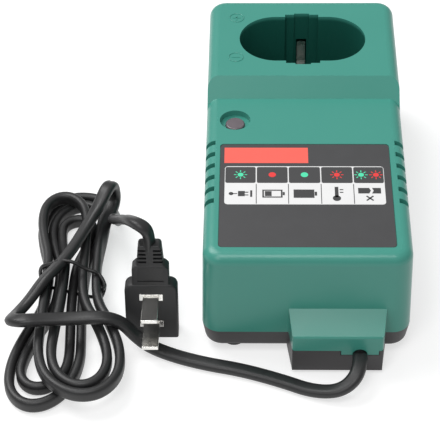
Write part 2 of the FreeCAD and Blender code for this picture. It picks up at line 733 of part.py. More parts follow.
def transformer_bobbin():
    w = TR_LEG + SPOOL_FIT
    d = TR_D + SPOOL_FIT
    z0 = BOARD_TOP + TR_UP + TR_LIMB + SPOOL_GAP
    z1 = BOARD_TOP + TR_UP + TR_H - TR_LIMB - SPOOL_GAP
    spool = ring_box(w + 2 * SPOOL_WALL, d + 2 * SPOOL_WALL, w, d, z0, z1, SPOOL_WALL)
    for z in (z0, z1 - SPOOL_FLANGE):
        flange = ring_box(w + 2 * SPOOL_LIP, d + 2 * SPOOL_LIP, w, d, z, z + SPOOL_FLANGE, SPOOL_WALL)
        spool = spool.fuse(flange)
    for side in (-1, 1):
        y = TR_Y + side * (TR_D / 2 + SPOOL_FOOT_IN)
        spool = spool.fuse(block(SPOOL_FOOT_W, SPOOL_FOOT_D, TR_X, y, BOARD_TOP, z0 + SPOOL_FLANGE / 2))
    return one(spool)


def transformer_winding():
    w = TR_LEG + SPOOL_FIT + 2 * SPOOL_WALL
    d = TR_D + SPOOL_FIT + 2 * SPOOL_WALL
    lift = TR_LIMB + SPOOL_GAP + SPOOL_FLANGE + WIND_GAP
    z0 = BOARD_TOP + TR_UP + lift
    z1 = BOARD_TOP + TR_UP + TR_H - lift
    return one(ring_box(w + 2 * WIND_OUT, d + 2 * WIND_OUT, w + WIND_GAP, d + WIND_GAP, z0, z1, WIND_OUT))


def heat_sink(x, y, w, fins, side):
    """Upright plate with fins on one side. Its front face is at y."""
    z1 = BOARD_TOP + SINK_H
    mid = y + SINK_T / 2
    sink = box(x - w / 2, y, BOARD_TOP, x + w / 2, y + SINK_T, z1)
    for i in range(fins):
        fin_x = x - w / 2 + FIN_T / 2 + i * (w - FIN_T) / (fins - 1)
        sink = sink.fuse(block(FIN_T, FIN_REACH, fin_x, mid + side * FIN_REACH / 2, BOARD_TOP, z1))
    return one(sink)


def power_device(x, y, side):
    """Power semiconductor with its metal tab, clamped flat to a heat sink at y."""
    z = BOARD_TOP + DEVICE_UP
    tab_plate = block(DEVICE_W, DEVICE_TAB_T, x, y + side * DEVICE_TAB_T / 2, z, z + DEVICE_TAB)
    body = block(DEVICE_W, DEVICE_T, x, y + side * DEVICE_T / 2, z, z + DEVICE_BODY)
    device = tab_plate.fuse(body)
    for i in (-1, 0, 1):
        leg = block(LEG_W, LEG_T, x + i * LEG_PITCH, y + side * LEG_OUT, BOARD_TOP, z + DEVICE_BODY / 2)
        device = device.fuse(leg)
    return one(device.cut(rod_y(DEVICE_HOLE_R, y - DEVICE_W, y + DEVICE_W, x, z + DEVICE_HOLE)))


def can(x, y, r, h):
    """Electrolytic capacitor: can with its rolled groove."""
    half = CAN_GROOVE * 0.85
    outline = [
        (0, 0), (r - CAN_EDGE, 0), (r, CAN_EDGE), (r, CAN_GROOVE_Z - half), (r - CAN_GROOVE, CAN_GROOVE_Z),
        (r, CAN_GROOVE_Z + half), (r, h - CAN_GROOVE), (r - CAN_GROOVE, h), (0, h), (0, 0),
    ]
    face = Part.Face(Part.makePolygon([V(u, 0, w) for u, w in outline]))
    solid = face.revolve(V(0, 0, 0), V(0, 0, 1), 360)
    solid.translate(V(x, y, BOARD_TOP))
    return solid


def input_capacitor():
    return can(TR_X - TR_W / 2 - CAN_GAP - CAN_R, TR_Y + CAN_Y, CAN_R, CAN_H)


def output_capacitors():
    x = TR_X + TR_W / 2 + CAN2_GAP + CAN2_R
    pitch = 2 * CAN2_R + CAN2_APART
    return group([can(x, TR_Y + CAN_Y + i * pitch, CAN2_R, CAN2_H) for i in (0, 1)])


def choke():
    """Ring core of the mains filter, wound all over, upright on its foot."""
    y = BOARD_Y0 + CHOKE_Y
    z = BOARD_TOP + CHOKE_RING + CHOKE_R + CHOKE_GAP
    ring = Part.makeTorus(CHOKE_RING, CHOKE_R, V(CHOKE_X, y, z), V(0, 1, 0))
    return one(ring.fuse(block(CHOKE_FOOT, CHOKE_FOOT_D, CHOKE_X, y, BOARD_TOP, BOARD_TOP + CHOKE_FOOT_H)))


def film_capacitor():
    y = BOARD_Y0 + FILM_Y
    body = box(FILM_X, y, BOARD_TOP, FILM_X + FILM_W, y + FILM_W, BOARD_TOP + FILM_H)
    return fillet(body, FILM_EDGE, lambda b: b.ZMin > BOARD_TOP + 0.1 or b.ZLength > 5)


def fuse_link():
    """Glass fuse with its two end caps in clips."""
    y = BOARD_Y0 + FUSE_Y
    z = BOARD_TOP + FUSE_UP
    fuse = rod_x(FUSE_R, FUSE_X, FUSE_X + FUSE_L, y, z)
    for x in (FUSE_X, FUSE_X + FUSE_L - CAP_L):
        fuse = fuse.fuse(rod_x(CAP_R, x, x + CAP_L, y, z))
        fuse = fuse.fuse(block(CLIP_L, CLIP_W, x + CAP_L / 2, y, BOARD_TOP, z))
    return one(fuse)


def controller_chip():
    x = SINK2_X - SINK2_W / 2 - CHIP_GAP - CHIP_L / 2
    y = BOARD_Y1 - CHIP_BACK - CHIP_W / 2
    z = BOARD_TOP + CHIP_UP
    chip = block(CHIP_L, CHIP_W, x, y, z, z + CHIP_T)
    for i in range(CHIP_PINS):
        pin_x = x + (i - (CHIP_PINS - 1) / 2) * LEG_PITCH
        for side in (-1, 1):
            pin_y = y + side * (CHIP_W + CHIP_PIN_OUT - CHIP_PIN_IN) / 2
            depth = CHIP_PIN_OUT + CHIP_PIN_IN
            chip = chip.fuse(block(LEG_W, depth, pin_x, pin_y, BOARD_TOP, BOARD_TOP + CHIP_PIN_H))
    return one(chip)


def cord_clamp():
    """Bar that holds the cord in the base, just inside the front wall."""
    y0 = FRONT + CLAMP_Y
    z = EXIT_Z - CLAMP_DOWN
    bar = block(CLAMP_W, CLAMP_D, EXIT_X, y0 + CLAMP_D / 2, z, z + CLAMP_H)
    return one(bar.cut(rod_y(CORD_D / 2 + CLAMP_BITE, FRONT, y0 + 2 * CLAMP_D, EXIT_X, EXIT_Z)))


# Cords
def run_and_arc_wire(points):
    """Straight runs joined by tangent arcs as large as the runs allow. Returns the wire and its radii."""
    pts = [V(*p) for p in points]
    edges = []
    radii = []
    here = pts[0]
    for a, b, c in zip(pts, pts[1:], pts[2:]):
        d0 = (b - a).normalize()
        d1 = (c - b).normalize()
        turn = d0.getAngle(d1)
        back = 0.45 * min((b - a).Length, (c - b).Length)
        r = back / math.tan(turn / 2)
        p0 = b - d0 * back
        p1 = b + d1 * back
        inward = (d1 - d0).normalize()
        centre = b + inward * (r / math.cos(turn / 2))
        edges.append(Part.LineSegment(here, p0).toShape())
        edges.append(Part.Arc(p0, centre - inward * r, p1).toShape())
        radii.append(r)
        here = p1
    edges.append(Part.LineSegment(here, pts[-1]).toShape())
    return Part.Wire(edges), radii


def biarc(p0, t0, p1, t1):
    """Two arcs from p0 to p1 with the given directions at their ends."""
    v = p1 - p0
    t = t0 + t1
    den = 2 * (1 - t0.dot(t1))
    if abs(den) < 1e-9:
        d = v.dot(v) / (4 * v.dot(t1))
    else:
        d = (-v.dot(t) + math.sqrt(v.dot(t) ** 2 + den * v.dot(v))) / den
    q = (p0 + t0 * d + p1 - t1 * d) * 0.5
    edges = []
    for a, ta, b in ((p0, t0, q), (q, (p1 - t1 * d - q).normalize(), p1)):
        w = b - a
        ang = ta.getAngle(w)
        if ang < 1e-5:
            edges.append(Part.LineSegment(a, b).toShape())
            continue
        side = (w - ta * w.dot(ta)).normalize()
        r = w.Length / (2 * math.sin(ang))
        centre = a + side * r
        mid = centre + ((a - centre).normalize() + (b - centre).normalize()).normalize() * r
        edges.append(Part.Arc(a, mid, b).toShape())
    return edges


def swept(wire, r, start, direction):
    section = Part.Wire([Part.makeCircle(r, start, direction)])
    return one(Part.Wire(wire).makePipeShell([section], True, False))


def swept_route(points, r):
    """Round tube along a route. Returns the solid, its length and the radii of its arcs."""
    wire, radii = run_and_arc_wire(points)
    return swept(wire, r, V(*points[0]), V(*points[1]) - V(*points[0])), wire.Length, radii


# Route of the lead from the case to the hank: along the table, over the hank and up across it
LEAD = [
    (EXIT_X, EXIT_Y, EXIT_Z),
    (EXIT_X, EXIT_Y - 8.5, EXIT_Z),
    (EXIT_X - 6.6, EXIT_Y - 14.0, 5.4),
    (EXIT_X - 17.5, EXIT_Y - 12.0, 2.5),
    (-10.0, EXIT_Y - 6.0, 2.4),
    (-25.0, EXIT_Y - 0.6, 2.4),
    (-38.5, FRONT - 7.6, 2.4),
    (-50.5, FRONT - 3.6, 2.4),
    (-60.5, FRONT + 1.0, 2.8),
    (-66.5, FRONT + 3.4, 6.8),
    (-71.5, FRONT + 4.4, 13.2),
    (-78.5, FRONT + 4.0, 16.2),
    (-90.5, FRONT + 4.8, 14.8),
    (-105.5, FRONT + 1.4, 14.8),
    (-115.0, FRONT + 8.5, HANK_START_Z),
    (-110.0, FRONT + 19.5, HANK_START_Z),
    (-102.6, FRONT + 29.0, HANK_START_Z),
    (-99.0, FRONT + 41.0, HANK_START_Z),
    (-97.6, FRONT + 55.0, HANK_START_Z),
    (-97.0, FRONT + 68.0, HANK_START_Z),
    (-93.5, FRONT + 80.0, HANK_START_Z),
    (-83.0, FRONT + 86.0, HANK_START_Z),
    (HANK_X + TOP_LOBE_R + HANK_TURNS * HANK_STEP, FRONT + 77.5, HANK_START_Z),
    (HANK_X + TOP_LOBE_R + HANK_TURNS * HANK_STEP, FRONT + HANK_TOP, HANK_START_Z),
]


def tail_route(start):
    """From the hank's last turn up and over into the top of the upright plug."""
    y = PLUG_MID
    return [
        tuple(start),
        (start.x + 9.0, start.y, start.z),
        (start.x + 18.0, start.y - 4.4, start.z + 1.6),
        (start.x + 23.4, start.y - 13.5, start.z + 8.6),
        (start.x + 25.6, start.y - 23.5, start.z + 19.0),
        (start.x + 27.4, start.y - 35.0, start.z + 31.4),
        (PLUG_X - 3.4, y + 24.0, RELIEF_TOP - 0.5),
        (PLUG_X - 2.0, y + 16.0, RELIEF_TOP + 9.2),
        (PLUG_X - 0.8, y + 8.4, RELIEF_TOP + 14.4),
        (PLUG_X, y, RELIEF_TOP + 11.0),
        (PLUG_X, y, RELIEF_TOP),
    ]


def hank_stations():
    """Points and directions along the hank: strands at the waist, sides of the lobes, top of the last lobe.

    The top layer winds in, its last strand climbs down a layer, and the bottom layer winds out.
    """
    half_turns = 4 * HANK_TURNS
    low = HANK_LIFT + CORD_D / 2
    high = low + HANK_LAYER
    stations = []
    for n in range(half_turns):
        side = 1 if n % 2 == 0 else -1
        from_middle = abs(half_turns / 2 - n)
        grow = from_middle * HANK_STEP / 2
        strand = math.ceil(from_middle / 2) * WAIST_STEP
        ends = [(TOP_LOBE_R + grow, HANK_TOP), (strand, HANK_WAIST), (BOTTOM_LOBE_R + grow, HANK_BOTTOM)]
        if side < 0:
            ends.reverse()
        if n == 0:
            heights = (HANK_START_Z, high, high)
        elif n < half_turns / 2:
            heights = (high, high, high)
        elif n == half_turns / 2:
            heights = (high, (high + low) / 2, low)
        else:
            heights = (low, low, low)
        for (x, y), z in zip(ends, heights):
            stations.append((V(HANK_X + side * x, FRONT + y, z), V(0, -side, 0)))
    grow = (half_turns / 2 - 0.5) * HANK_STEP / 2
    top = V(HANK_X + HANK_STEP / 4, FRONT + HANK_TOP + TOP_LOBE_R + grow, low)
    return stations + [(top, V(1, 0, 0))]


def least_self_gap(wire, d):
    """Least distance between turns, measured on points along the middle line."""
    step = 1.5
    pts = wire.discretize(Distance=step)
    skip = int(math.pi * d / step) + 3
    best = wire.Length
    for i, a in enumerate(pts):
        for b in pts[i + skip:]:
            best = min(best, (a - b).Length)
    return best - d


def hank_tie():
    """Wire tie round the waist, over the strand that lies across the hank."""
    low = HANK_LIFT + CORD_D / 2
    w = HANK_TURNS * WAIST_STEP
    at = [(-w, low), (w, low), (w, low + HANK_LAYER), (TIE_OVER_X, TIE_OVER_Z), (-w, low + HANK_LAYER)]
    pts = [V(HANK_X + x, FRONT + HANK_WAIST, z) for x, z in at]
    loop = Part.makePolygon(pts + pts[:1]).makeOffset2D((CORD_D + TIE_T) / 2 + TIE_GAP, 0)
    edges = loop.OrderedEdges
    e = edges[0]
    return swept(edges, TIE_T / 2, e.valueAt(e.FirstParameter), e.tangentAt(e.FirstParameter))


def front_plate(w, h, r, y0, y1, z0):
    """Round-cornered block seen from the front, pushed along Y."""
    wire = rounded(PLUG_X - w / 2, 0, PLUG_X + w / 2, h, r, 0)
    wire.rotate(V(0, 0, 0), V(1, 0, 0), 90)
    wire.translate(V(0, y0, z0))
    return Part.Face(wire).extrude(V(0, y1 - y0, 0))


def blade_block(z):
    return block(BLADE_W, BLADE_OUT + BLADE_ROOT, PLUG_X, PLUG_Y + (BLADE_ROOT - BLADE_OUT) / 2,
                 z - BLADE_T / 2, z + BLADE_T / 2)


def plug_body():
    """Upright plug: rounded body, neck, and a strain relief of ribs round a core that tapers."""
    body = front_plate(PLUG_W, PLUG_H, PLUG_R, PLUG_Y, PLUG_Y + PLUG_T, 0)
    body = fillet(body, PLUG_EDGE, lambda b: b.YLength < 0.01)
    neck = Part.makeLoft([
        centred(NECK_W, NECK_D, NECK_R, PLUG_H - 2 * MELT, PLUG_X, PLUG_MID),
        centred(NECK_W, NECK_D_TOP, NECK_R, NECK_TOP - NECK_SLOPE, PLUG_X, PLUG_MID),
        centred(RELIEF_W + MELT, RELIEF_D, NECK_R, NECK_TOP, PLUG_X, PLUG_MID),
    ], True, True)
    core = Part.makeLoft([
        centred(CORE_BOTTOM_W, CORE_BOTTOM_W - CORE_FLAT, RIB_R, NECK_TOP - MELT, PLUG_X, PLUG_MID),
        centred(CORE_TOP_W, CORE_TOP_W - CORE_FLAT, RIB_R, RELIEF_TOP, PLUG_X, PLUG_MID),
    ], True, True)
    body = body.fuse(neck).fuse(core)
    pitch = (RELIEF_TOP - NECK_TOP) / RELIEF_RIBS
    for i in range(RELIEF_RIBS):
        z = NECK_TOP + (i + 1 - RIB_SHARE) * pitch
        shrink = i * RIB_SHRINK
        rib = centred(RELIEF_W - shrink, RELIEF_D - shrink, RIB_R, z, PLUG_X, PLUG_MID)
        body = body.fuse(raised(rib, pitch * RIB_SHARE))
    for z in BLADE_HEIGHTS:
        body = body.cut(blade_block(z))
    return one(body)


def plug_blades():
    blades = []
    tip = PLUG_Y - BLADE_OUT
    for z in BLADE_HEIGHTS:
        blade = blade_block(z)
        blade = blade.makeChamfer(BLADE_BEVEL, [e for e in blade.Edges if e.BoundBox.YMax < tip + 0.1])
        collar = front_plate(COLLAR_W, COLLAR_H, COLLAR_R, PLUG_Y - COLLAR_OUT, PLUG_Y, z - COLLAR_H / 2)
        blades.append(one(blade.fuse(collar)))
    return group(blades)


def inner_lead():
    """The cord inside the case, through the clamp, and its two cores down to the board."""
    end = FRONT + CLAMP_Y + CLAMP_D + SHEATH_PAST
    pad = BOARD_Y0 + CORE_PAD
    lead = rod_y(CORD_D / 2, EXIT_Y, end, EXIT_X, EXIT_Z)
    for side in (-1, 1):
        x = EXIT_X + side * CORE_SPLIT
        spread = x + side * CORE_SPLIT / 2 - CORE_ASIDE
        lead = lead.fuse(swept_route([
            (x, end - MELT, EXIT_Z),
            (x, end + (pad - end) * 0.35, EXIT_Z + CORE_R),
            ((x + spread) / 2, end + (pad - end) * 0.7, BOARD_TOP + CORE_RISE - CORE_R),
            (spread, pad, BOARD_TOP + CORE_RISE),
            (spread, pad, BOARD_TOP),
        ], CORE_R)[0])
    return one(lead)


def save_cords():
    r = CORD_D / 2
    stations = hank_stations()
    edges = []
    for (p0, t0), (p1, t1) in zip(stations, stations[1:]):
        edges += biarc(p0, t0, p1, t1)
    hank_length = Part.Wire(edges).Length
    wound = swept(edges, r, *stations[0])
    lead, lead_length, lead_radii = swept_route(LEAD, r)
    tail, tail_length, tail_radii = swept_route(tail_route(stations[-1][0]), r)
    print("lead radii", [round(x, 1) for x in lead_radii])
    print("tail radii", [round(x, 1) for x in tail_radii])
    print("hank least gap to itself", round(least_self_gap(Part.Wire(edges), CORD_D), 2))
    cords = [("lead", lead, lead_length), ("hank", wound, hank_length), ("tail", tail, tail_length)]
    for name, solid, length in cords:
        share = solid.Volume / (math.pi * r * r * length)
        print(name, "length", round(length, 1), "volume over section x length", round(share, 4))
        save("mains_cord_" + name, solid)


def main():
    os.makedirs("parts", exist_ok=True)
    sink_back = SINK2_Y + SINK_T
    pieces = {
        "top_housing": top_housing(),
        "base_housing": base_housing(),
        "rubber_feet": rubber_feet(),
        "case_screws": case_screws(),
        "contact_block": contact_block(),
        "plus_contact": leaf(1),
        "minus_contact": leaf(-1),
        "temperature_pin": temperature_pin(),
        "led_lens": led_lens(),
        "status_leds": status_leds(),
        "rating_plate": rating_plate(),
        "main_board": main_board(),
        "board_screws": board_screws(),
        "transformer_core": transformer_core(),
        "transformer_bobbin": transformer_bobbin(),
        "transformer_winding": transformer_winding(),
        "primary_heat_sink": heat_sink(SINK_X, SINK_Y, SINK_W, SINK_FINS, 1),
        "switching_transistor": power_device(DEVICE_X, SINK_Y, -1),
        "secondary_heat_sink": heat_sink(SINK2_X, SINK2_Y, SINK2_W, SINK2_FINS, -1),
        "rectifier": power_device(SINK2_X, sink_back, 1),
        "input_capacitor": input_capacitor(),
        "output_capacitors": output_capacitors(),
        "filter_choke": choke(),
        "film_capacitor": film_capacitor(),
        "fuse": fuse_link(),
        "controller_chip": controller_chip(),
        "cord_clamp": cord_clamp(),
        "mains_cord_inside": inner_lead(),
        "hank_tie": hank_tie(),
        "plug_body": plug_body(),
        "plug_blades": plug_blades(),
    }
    for name, shape in pieces.items():
        save(name, shape)
    save_cords()


main()
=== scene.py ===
import math

import bmesh
import bpy
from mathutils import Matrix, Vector


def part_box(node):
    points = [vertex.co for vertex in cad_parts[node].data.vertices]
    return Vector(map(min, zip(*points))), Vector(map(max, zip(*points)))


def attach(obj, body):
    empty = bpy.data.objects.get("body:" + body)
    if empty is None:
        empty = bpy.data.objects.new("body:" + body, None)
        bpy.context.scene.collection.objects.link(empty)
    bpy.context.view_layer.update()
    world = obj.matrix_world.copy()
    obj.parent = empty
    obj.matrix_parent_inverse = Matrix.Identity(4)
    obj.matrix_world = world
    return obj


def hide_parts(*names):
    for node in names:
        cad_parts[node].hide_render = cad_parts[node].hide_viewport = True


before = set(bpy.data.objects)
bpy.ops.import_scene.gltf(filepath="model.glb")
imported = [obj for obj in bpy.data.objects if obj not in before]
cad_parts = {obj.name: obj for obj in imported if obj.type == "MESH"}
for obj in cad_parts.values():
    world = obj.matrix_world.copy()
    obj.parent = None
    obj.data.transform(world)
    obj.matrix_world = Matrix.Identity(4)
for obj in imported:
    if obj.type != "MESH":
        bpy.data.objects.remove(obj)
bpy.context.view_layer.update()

# The table: a plain white sheet, seen from the front and above, under one large soft
# lamp over the back left corner, one overhead and one beside the viewer's left shoulder.
FLOOR_SIZE = 3.0
FLOOR_COLOR = (0.50, 0.50, 0.50, 1.0)
FLOOR_ROUGHNESS = 0.9
FLOOR_GLOW = 0.62
WHITE = (1.0, 1.0, 1.0, 1.0)
AMBIENT = 0.42
LAMPS = {
    "key lamp": {"at": (-0.75, 0.55, 1.35), "aim": (0.0, 0.0, 0.0), "size": 1.1, "watts": 16.5},
    "overhead lamp": {"at": (-0.10, -0.42, 1.15), "aim": (0.0, 0.0, 0.04), "size": 0.5, "watts": 3.4},
    "side lamp": {"at": (-0.42, -0.80, 0.90), "aim": (-0.02, 0.0, 0.03), "size": 0.5, "watts": 2.0},
}
EYE = (-0.01974, -0.54918, 0.50151)
EYE_TURN = (47.808, 0.693, 0.919)
EYE_LENS = 144.34
EYE_SENSOR = 36.0


class Value:
    """A socket of a material, on which +, - and * add Math nodes."""

    def __init__(self, finish, socket):
        self.finish = finish
        self.socket = socket

    def math(self, operation, *others):
        return self.finish.node("ShaderNodeMath", {"operation": operation}, (self, *others))

    def __add__(self, other):
        return self.math("ADD", other)

    __radd__ = __add__

    def __mul__(self, other):
        return self.math("MULTIPLY", other)

    __rmul__ = __mul__

    def __sub__(self, other):
        return self.math("SUBTRACT", other)

    def __rsub__(self, other):
        return self.finish.node("ShaderNodeMath", {"operation": "SUBTRACT"}, (other, self))

    def above(self, edge, soft):
        """0 under the edge and 1 over it, with a soft step between."""
        return self.finish.node("ShaderNodeMapRange", {"interpolation_type": "SMOOTHSTEP"},
                                {"Value": self, "From Min": edge - soft, "From Max": edge + soft})


class Finish:
    """A material for one of the object's surfaces, with its nodes."""

    def __init__(self, name):
        self.material = bpy.data.materials.new(name)
        self.material.use_nodes = True
        self.tree = self.material.node_tree
        self.surface = self.tree.nodes["Principled BSDF"]
        self.place = self.node("ShaderNodeTexCoord", out="Object")

    def node(self, kind, settings=None, sockets=(), out=0):
        """Adds a node: its settings first, then the values or links of its sockets."""
        made = self.tree.nodes.new(kind)
        for name, value in (settings or {}).items():
            setattr(made, name, value)
        pairs = sockets.items() if isinstance(sockets, dict) else enumerate(sockets)
        for name, value in pairs:
            self.put(made.inputs[name], value)
        return Value(self, made.outputs[out])

    def put(self, socket, value):
        if isinstance(value, Value):
            self.tree.links.new(value.socket, socket)
        else:
            socket.default_value = value

    def noise(self, scale, detail=2.0, rough=0.5, place=None):
        return self.node("ShaderNodeTexNoise", None, {"Vector": place or self.place, "Scale": scale,
                                                      "Detail": detail, "Roughness": rough})

    def mix(self, factor, a, b):
        return self.node("ShaderNodeMix", {"data_type": "RGBA"}, {0: factor, 6: a, 7: b}, out=2)

    def bump(self, height, strength, distance):
        return self.node("ShaderNodeBump", None,
                         {"Height": height, "Strength": strength, "Distance": distance})

    def set(self, **sockets):
        """Sets sockets of the surface shader, such as base_color."""
        for name, value in sockets.items():
            self.put(self.surface.inputs[name.replace("_", " ").title()], value)


table = Finish("table white")
table.set(base_color=FLOOR_COLOR, roughness=FLOOR_ROUGHNESS)
table.surface.inputs["Specular IOR Level"].default_value = 0.0
rays = table.tree.nodes.new("ShaderNodeLightPath").outputs
seen = Value(table, rays["Is Camera Ray"]) + Value(table, rays["Is Glossy Ray"])
seen = seen + Value(table, rays["Is Transmission Ray"])
glow = table.node("ShaderNodeEmission", None, {"Color": WHITE, "Strength": FLOOR_GLOW}, out="Emission")
plain = Value(table, table.surface.outputs[0])
lit = table.node("ShaderNodeAddShader", None, (plain, glow))
shown = table.node("ShaderNodeMixShader", None, (seen, plain, lit))
table.put(table.tree.nodes["Material Output"].inputs["Surface"], shown)

bpy.ops.object.select_all(action="DESELECT")
bpy.ops.mesh.primitive_plane_add(size=FLOOR_SIZE)
floor = bpy.context.object
floor.name = "table_top"
floor.data.materials.append(table.material)

scene = bpy.context.scene
scene.view_settings.view_transform = "Standard"
scene.world = bpy.data.worlds.new("studio")
scene.world.use_nodes = True
sky = scene.world.node_tree.nodes["Background"]
sky.inputs["Color"].default_value = WHITE
sky.inputs["Strength"].default_value = AMBIENT
for name, lamp in LAMPS.items():
    light = bpy.data.lights.new(name, "AREA")
    light.shape = "DISK"
    light.size = lamp["size"]
    light.energy = lamp["watts"]
    holder = bpy.data.objects.new(name, light)
    holder.location = lamp["at"]
    way = Vector(lamp["aim"]) - Vector(lamp["at"])
    holder.rotation_euler = way.to_track_quat("-Z", "Y").to_euler()
    scene.collection.objects.link(holder)
eye = bpy.data.objects.new("camera", bpy.data.cameras.new("camera"))
eye.data.lens = EYE_LENS
eye.data.sensor_width = EYE_SENSOR
eye.location = EYE
eye.rotation_euler = [math.radians(a) for a in EYE_TURN]
scene.collection.objects.link(eye)
scene.camera = eye


# The base: the lower half of the case, injection-moulded in dark grey ABS, a little
# duller than the top. The board and the contact block are fixed in it.
GREY_DARK = (0.034, 0.032, 0.034, 1)
GREY_PALE = (0.048, 0.046, 0.048, 1)


def dress(nodes, finish):
    """Gives CAD nodes their finish."""
    for name in nodes:
        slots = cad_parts[name].data.materials
        slots.clear()
        slots.append(finish.material)


grey = Finish("grey ABS")
grey_flow = grey.noise(40.0, 4.0, 0.6)
grey.set(base_color=grey.mix(grey_flow, GREY_DARK, GREY_PALE), roughness=0.42 + grey_flow * 0.12,
         normal=grey.bump(grey.noise(2000.0, 3.0), 0.15, 0.0001))
dress(["base_housing"], grey)


# The feet: four round pads of black rubber, pressed into sockets under the base.
# They are matt, with a coarse grain from the mould.
RUBBER_DARK = (0.012, 0.012, 0.012, 1)
RUBBER_PALE = (0.024, 0.024, 0.024, 1)


def plain_finish(name, scale, dark, pale, roughness, grain=None, metallic=0.0):
    """A finish in soft patches of two shades, with a fine grain (scale, detail, strength, depth) if any."""
    finish = Finish(name)
    patches = finish.mix(finish.noise(scale), dark, pale)
    finish.set(base_color=patches, roughness=roughness, metallic=metallic)
    if grain:
        grain_scale, detail, strength, depth = grain
        finish.set(normal=finish.bump(finish.noise(grain_scale, detail), strength, depth))
    return finish


dress(["rubber_feet"],
      plain_finish("foot rubber", 300.0, RUBBER_DARK, RUBBER_PALE, 0.75, grain=(1400.0, 2.0, 0.4, 0.0002)))

# The screws: plain zinc-plated steel, driven up through the base into the top shell,
# and down through the board into the base.
STEEL_DARK = (0.30, 0.30, 0.31, 1)
STEEL_PALE = (0.46, 0.46, 0.47, 1)
dress(["case_screws", "board_screws"],
      plain_finish("screw steel", 500.0, STEEL_DARK, STEEL_PALE, 0.32, metallic=1.0))

# The circuit board: a sheet of brown paper laminate, speckled by its fibres, which
# stands on posts in the base and carries all the parts that follow.
BOARD_DARK = (0.30, 0.17, 0.06, 1)
BOARD_PALE = (0.36, 0.22, 0.08, 1)
board = Finish("circuit board")
board.set(base_color=board.mix(board.noise(400.0).above(0.55, 0.04), BOARD_DARK, BOARD_PALE), roughness=0.5)
dress(["main_board"], board)

# The transformer and the choke: a core of black ferrite round a bobbin of dark resin,
# with its winding under yellow tape, and a ring choke in the same black on its foot.
FERRITE_DARK = (0.02, 0.02, 0.02, 1)
FERRITE_PALE = (0.05, 0.05, 0.048, 1)
TAPE_DARK = (0.62, 0.44, 0.05, 1)
TAPE_PALE = (0.74, 0.55, 0.08, 1)
RESIN_DARK = (0.012, 0.012, 0.013, 1)
RESIN_PALE = (0.03, 0.03, 0.03, 1)
dress(["transformer_core", "filter_choke"], plain_finish("ferrite", 700.0, FERRITE_DARK, FERRITE_PALE, 0.6))
dress(["transformer_winding"], plain_finish("yellow tape", 90.0, TAPE_DARK, TAPE_PALE, 0.3))
dark_resin = plain_finish("dark resin", 800.0, RESIN_DARK, RESIN_PALE, 0.45)
dress(["transformer_bobbin"], dark_resin)

# The power parts: the transistor and the rectifier in dark resin, each with its tab on a
# finned heat sink of aluminium, and the controller chip in the same resin.
SINK_DARK = (0.52, 0.53, 0.54, 1)
SINK_PALE = (0.66, 0.67, 0.68, 1)
dress(["controller_chip", "switching_transistor", "rectifier"], dark_resin)
dress(["primary_heat_sink", "secondary_heat_sink"],
      plain_finish("sink aluminium", 300.0, SINK_DARK, SINK_PALE, 0.4, metallic=1.0))

# The capacitors and the fuse: round cans in dark blue shrink sleeve, a block of film in
# yellow resin, and a glass fuse held in two clips.
SLEEVE_DARK = (0.01, 0.02, 0.05, 1)
SLEEVE_PALE = (0.02, 0.03, 0.08, 1)
FILM_DARK = (0.45, 0.30, 0.02, 1)
FILM_PALE = (0.55, 0.38, 0.03, 1)
GLASS_DARK = (0.60, 0.62, 0.60, 1)
GLASS_PALE = (0.70, 0.72, 0.70, 1)
dress(["input_capacitor", "output_capacitors"],
      plain_finish("can sleeve", 90.0, SLEEVE_DARK, SLEEVE_PALE, 0.25))
dress(["film_capacitor"], plain_finish("film block", 90.0, FILM_DARK, FILM_PALE, 0.35))
dress(["fuse"], plain_finish("fuse glass", 90.0, GLASS_DARK, GLASS_PALE, 0.1))

# The contact block at the foot of the well, and the clamp that holds the cord inside the
# case: both moulded in black nylon.
NYLON_DARK = (0.010, 0.010, 0.011, 1)
NYLON_PALE = (0.018, 0.018, 0.019, 1)
dress(["contact_block", "cord_clamp"],
      plain_finish("black nylon", 120.0, NYLON_DARK, NYLON_PALE, 0.5, grain=(1800.0, 2.0, 0.2, 0.0001)))

# The contacts: two sprung leaves and a sliding pin, held in the contact block, all
# nickel-plated and faintly brushed along their length.
NICKEL_DARK = (0.74, 0.73, 0.70, 1)
NICKEL_PALE = (0.84, 0.83, 0.80, 1)
BRUSH_STRETCH = (12.0, 1.0, 12.0)
nickel = Finish("nickel plate")
along_leaf = nickel.node("ShaderNodeMapping", None, {"Vector": nickel.place, "Scale": BRUSH_STRETCH})
brushed = nickel.noise(60.0, 3.0, 0.6, along_leaf)
nickel.set(base_color=nickel.mix(brushed, NICKEL_DARK, NICKEL_PALE), metallic=1.0,
           roughness=0.16 + brushed * 0.16)
dress(["plus_contact", "minus_contact", "temperature_pin"], nickel)


# The top shell: injection-moulded green ABS with a fine satin texture, and the well
# moulded in. A darker green in the well is painted shade, added to its shadow, by the well's place in
# metres.
GREEN_DARK = (0.048, 0.270, 0.215, 1)
GREEN_PALE = (0.056, 0.300, 0.240, 1)
WELL_PAINTED_SHADE = (0.012, 0.105, 0.080, 1)
WELL_HALF_W = 0.031
WELL_FRONT = 0.030
WELL_RIM = 0.0565
green = Finish("green ABS")
flow = green.noise(14.0, 4.0, 0.55)
grain = green.noise(2200.0, 3.0, 0.6)
smudge = green.noise(55.0, 5.0, 0.65)
across, along, up = (green.node("ShaderNodeSeparateXYZ", None, (green.place,), out=i) for i in range(3))
beside_well = across.math("ABSOLUTE").above(WELL_HALF_W, 0.001)
over_well = up.above(WELL_RIM, 0.001)
# Painted shade: this mask darkens the green inside the well, behind its front, between its sides and below
# its rim
painted_well_shade = along.above(WELL_FRONT, 0.002) * (1.0 - beside_well) * (1.0 - over_well)
green.set(base_color=green.mix(painted_well_shade, green.mix(flow, GREEN_DARK, GREEN_PALE), WELL_PAINTED_SHADE),
          roughness=0.25 + smudge * 0.12, normal=green.bump(grain, 0.10, 0.00008))
dress(["top_housing"], green)


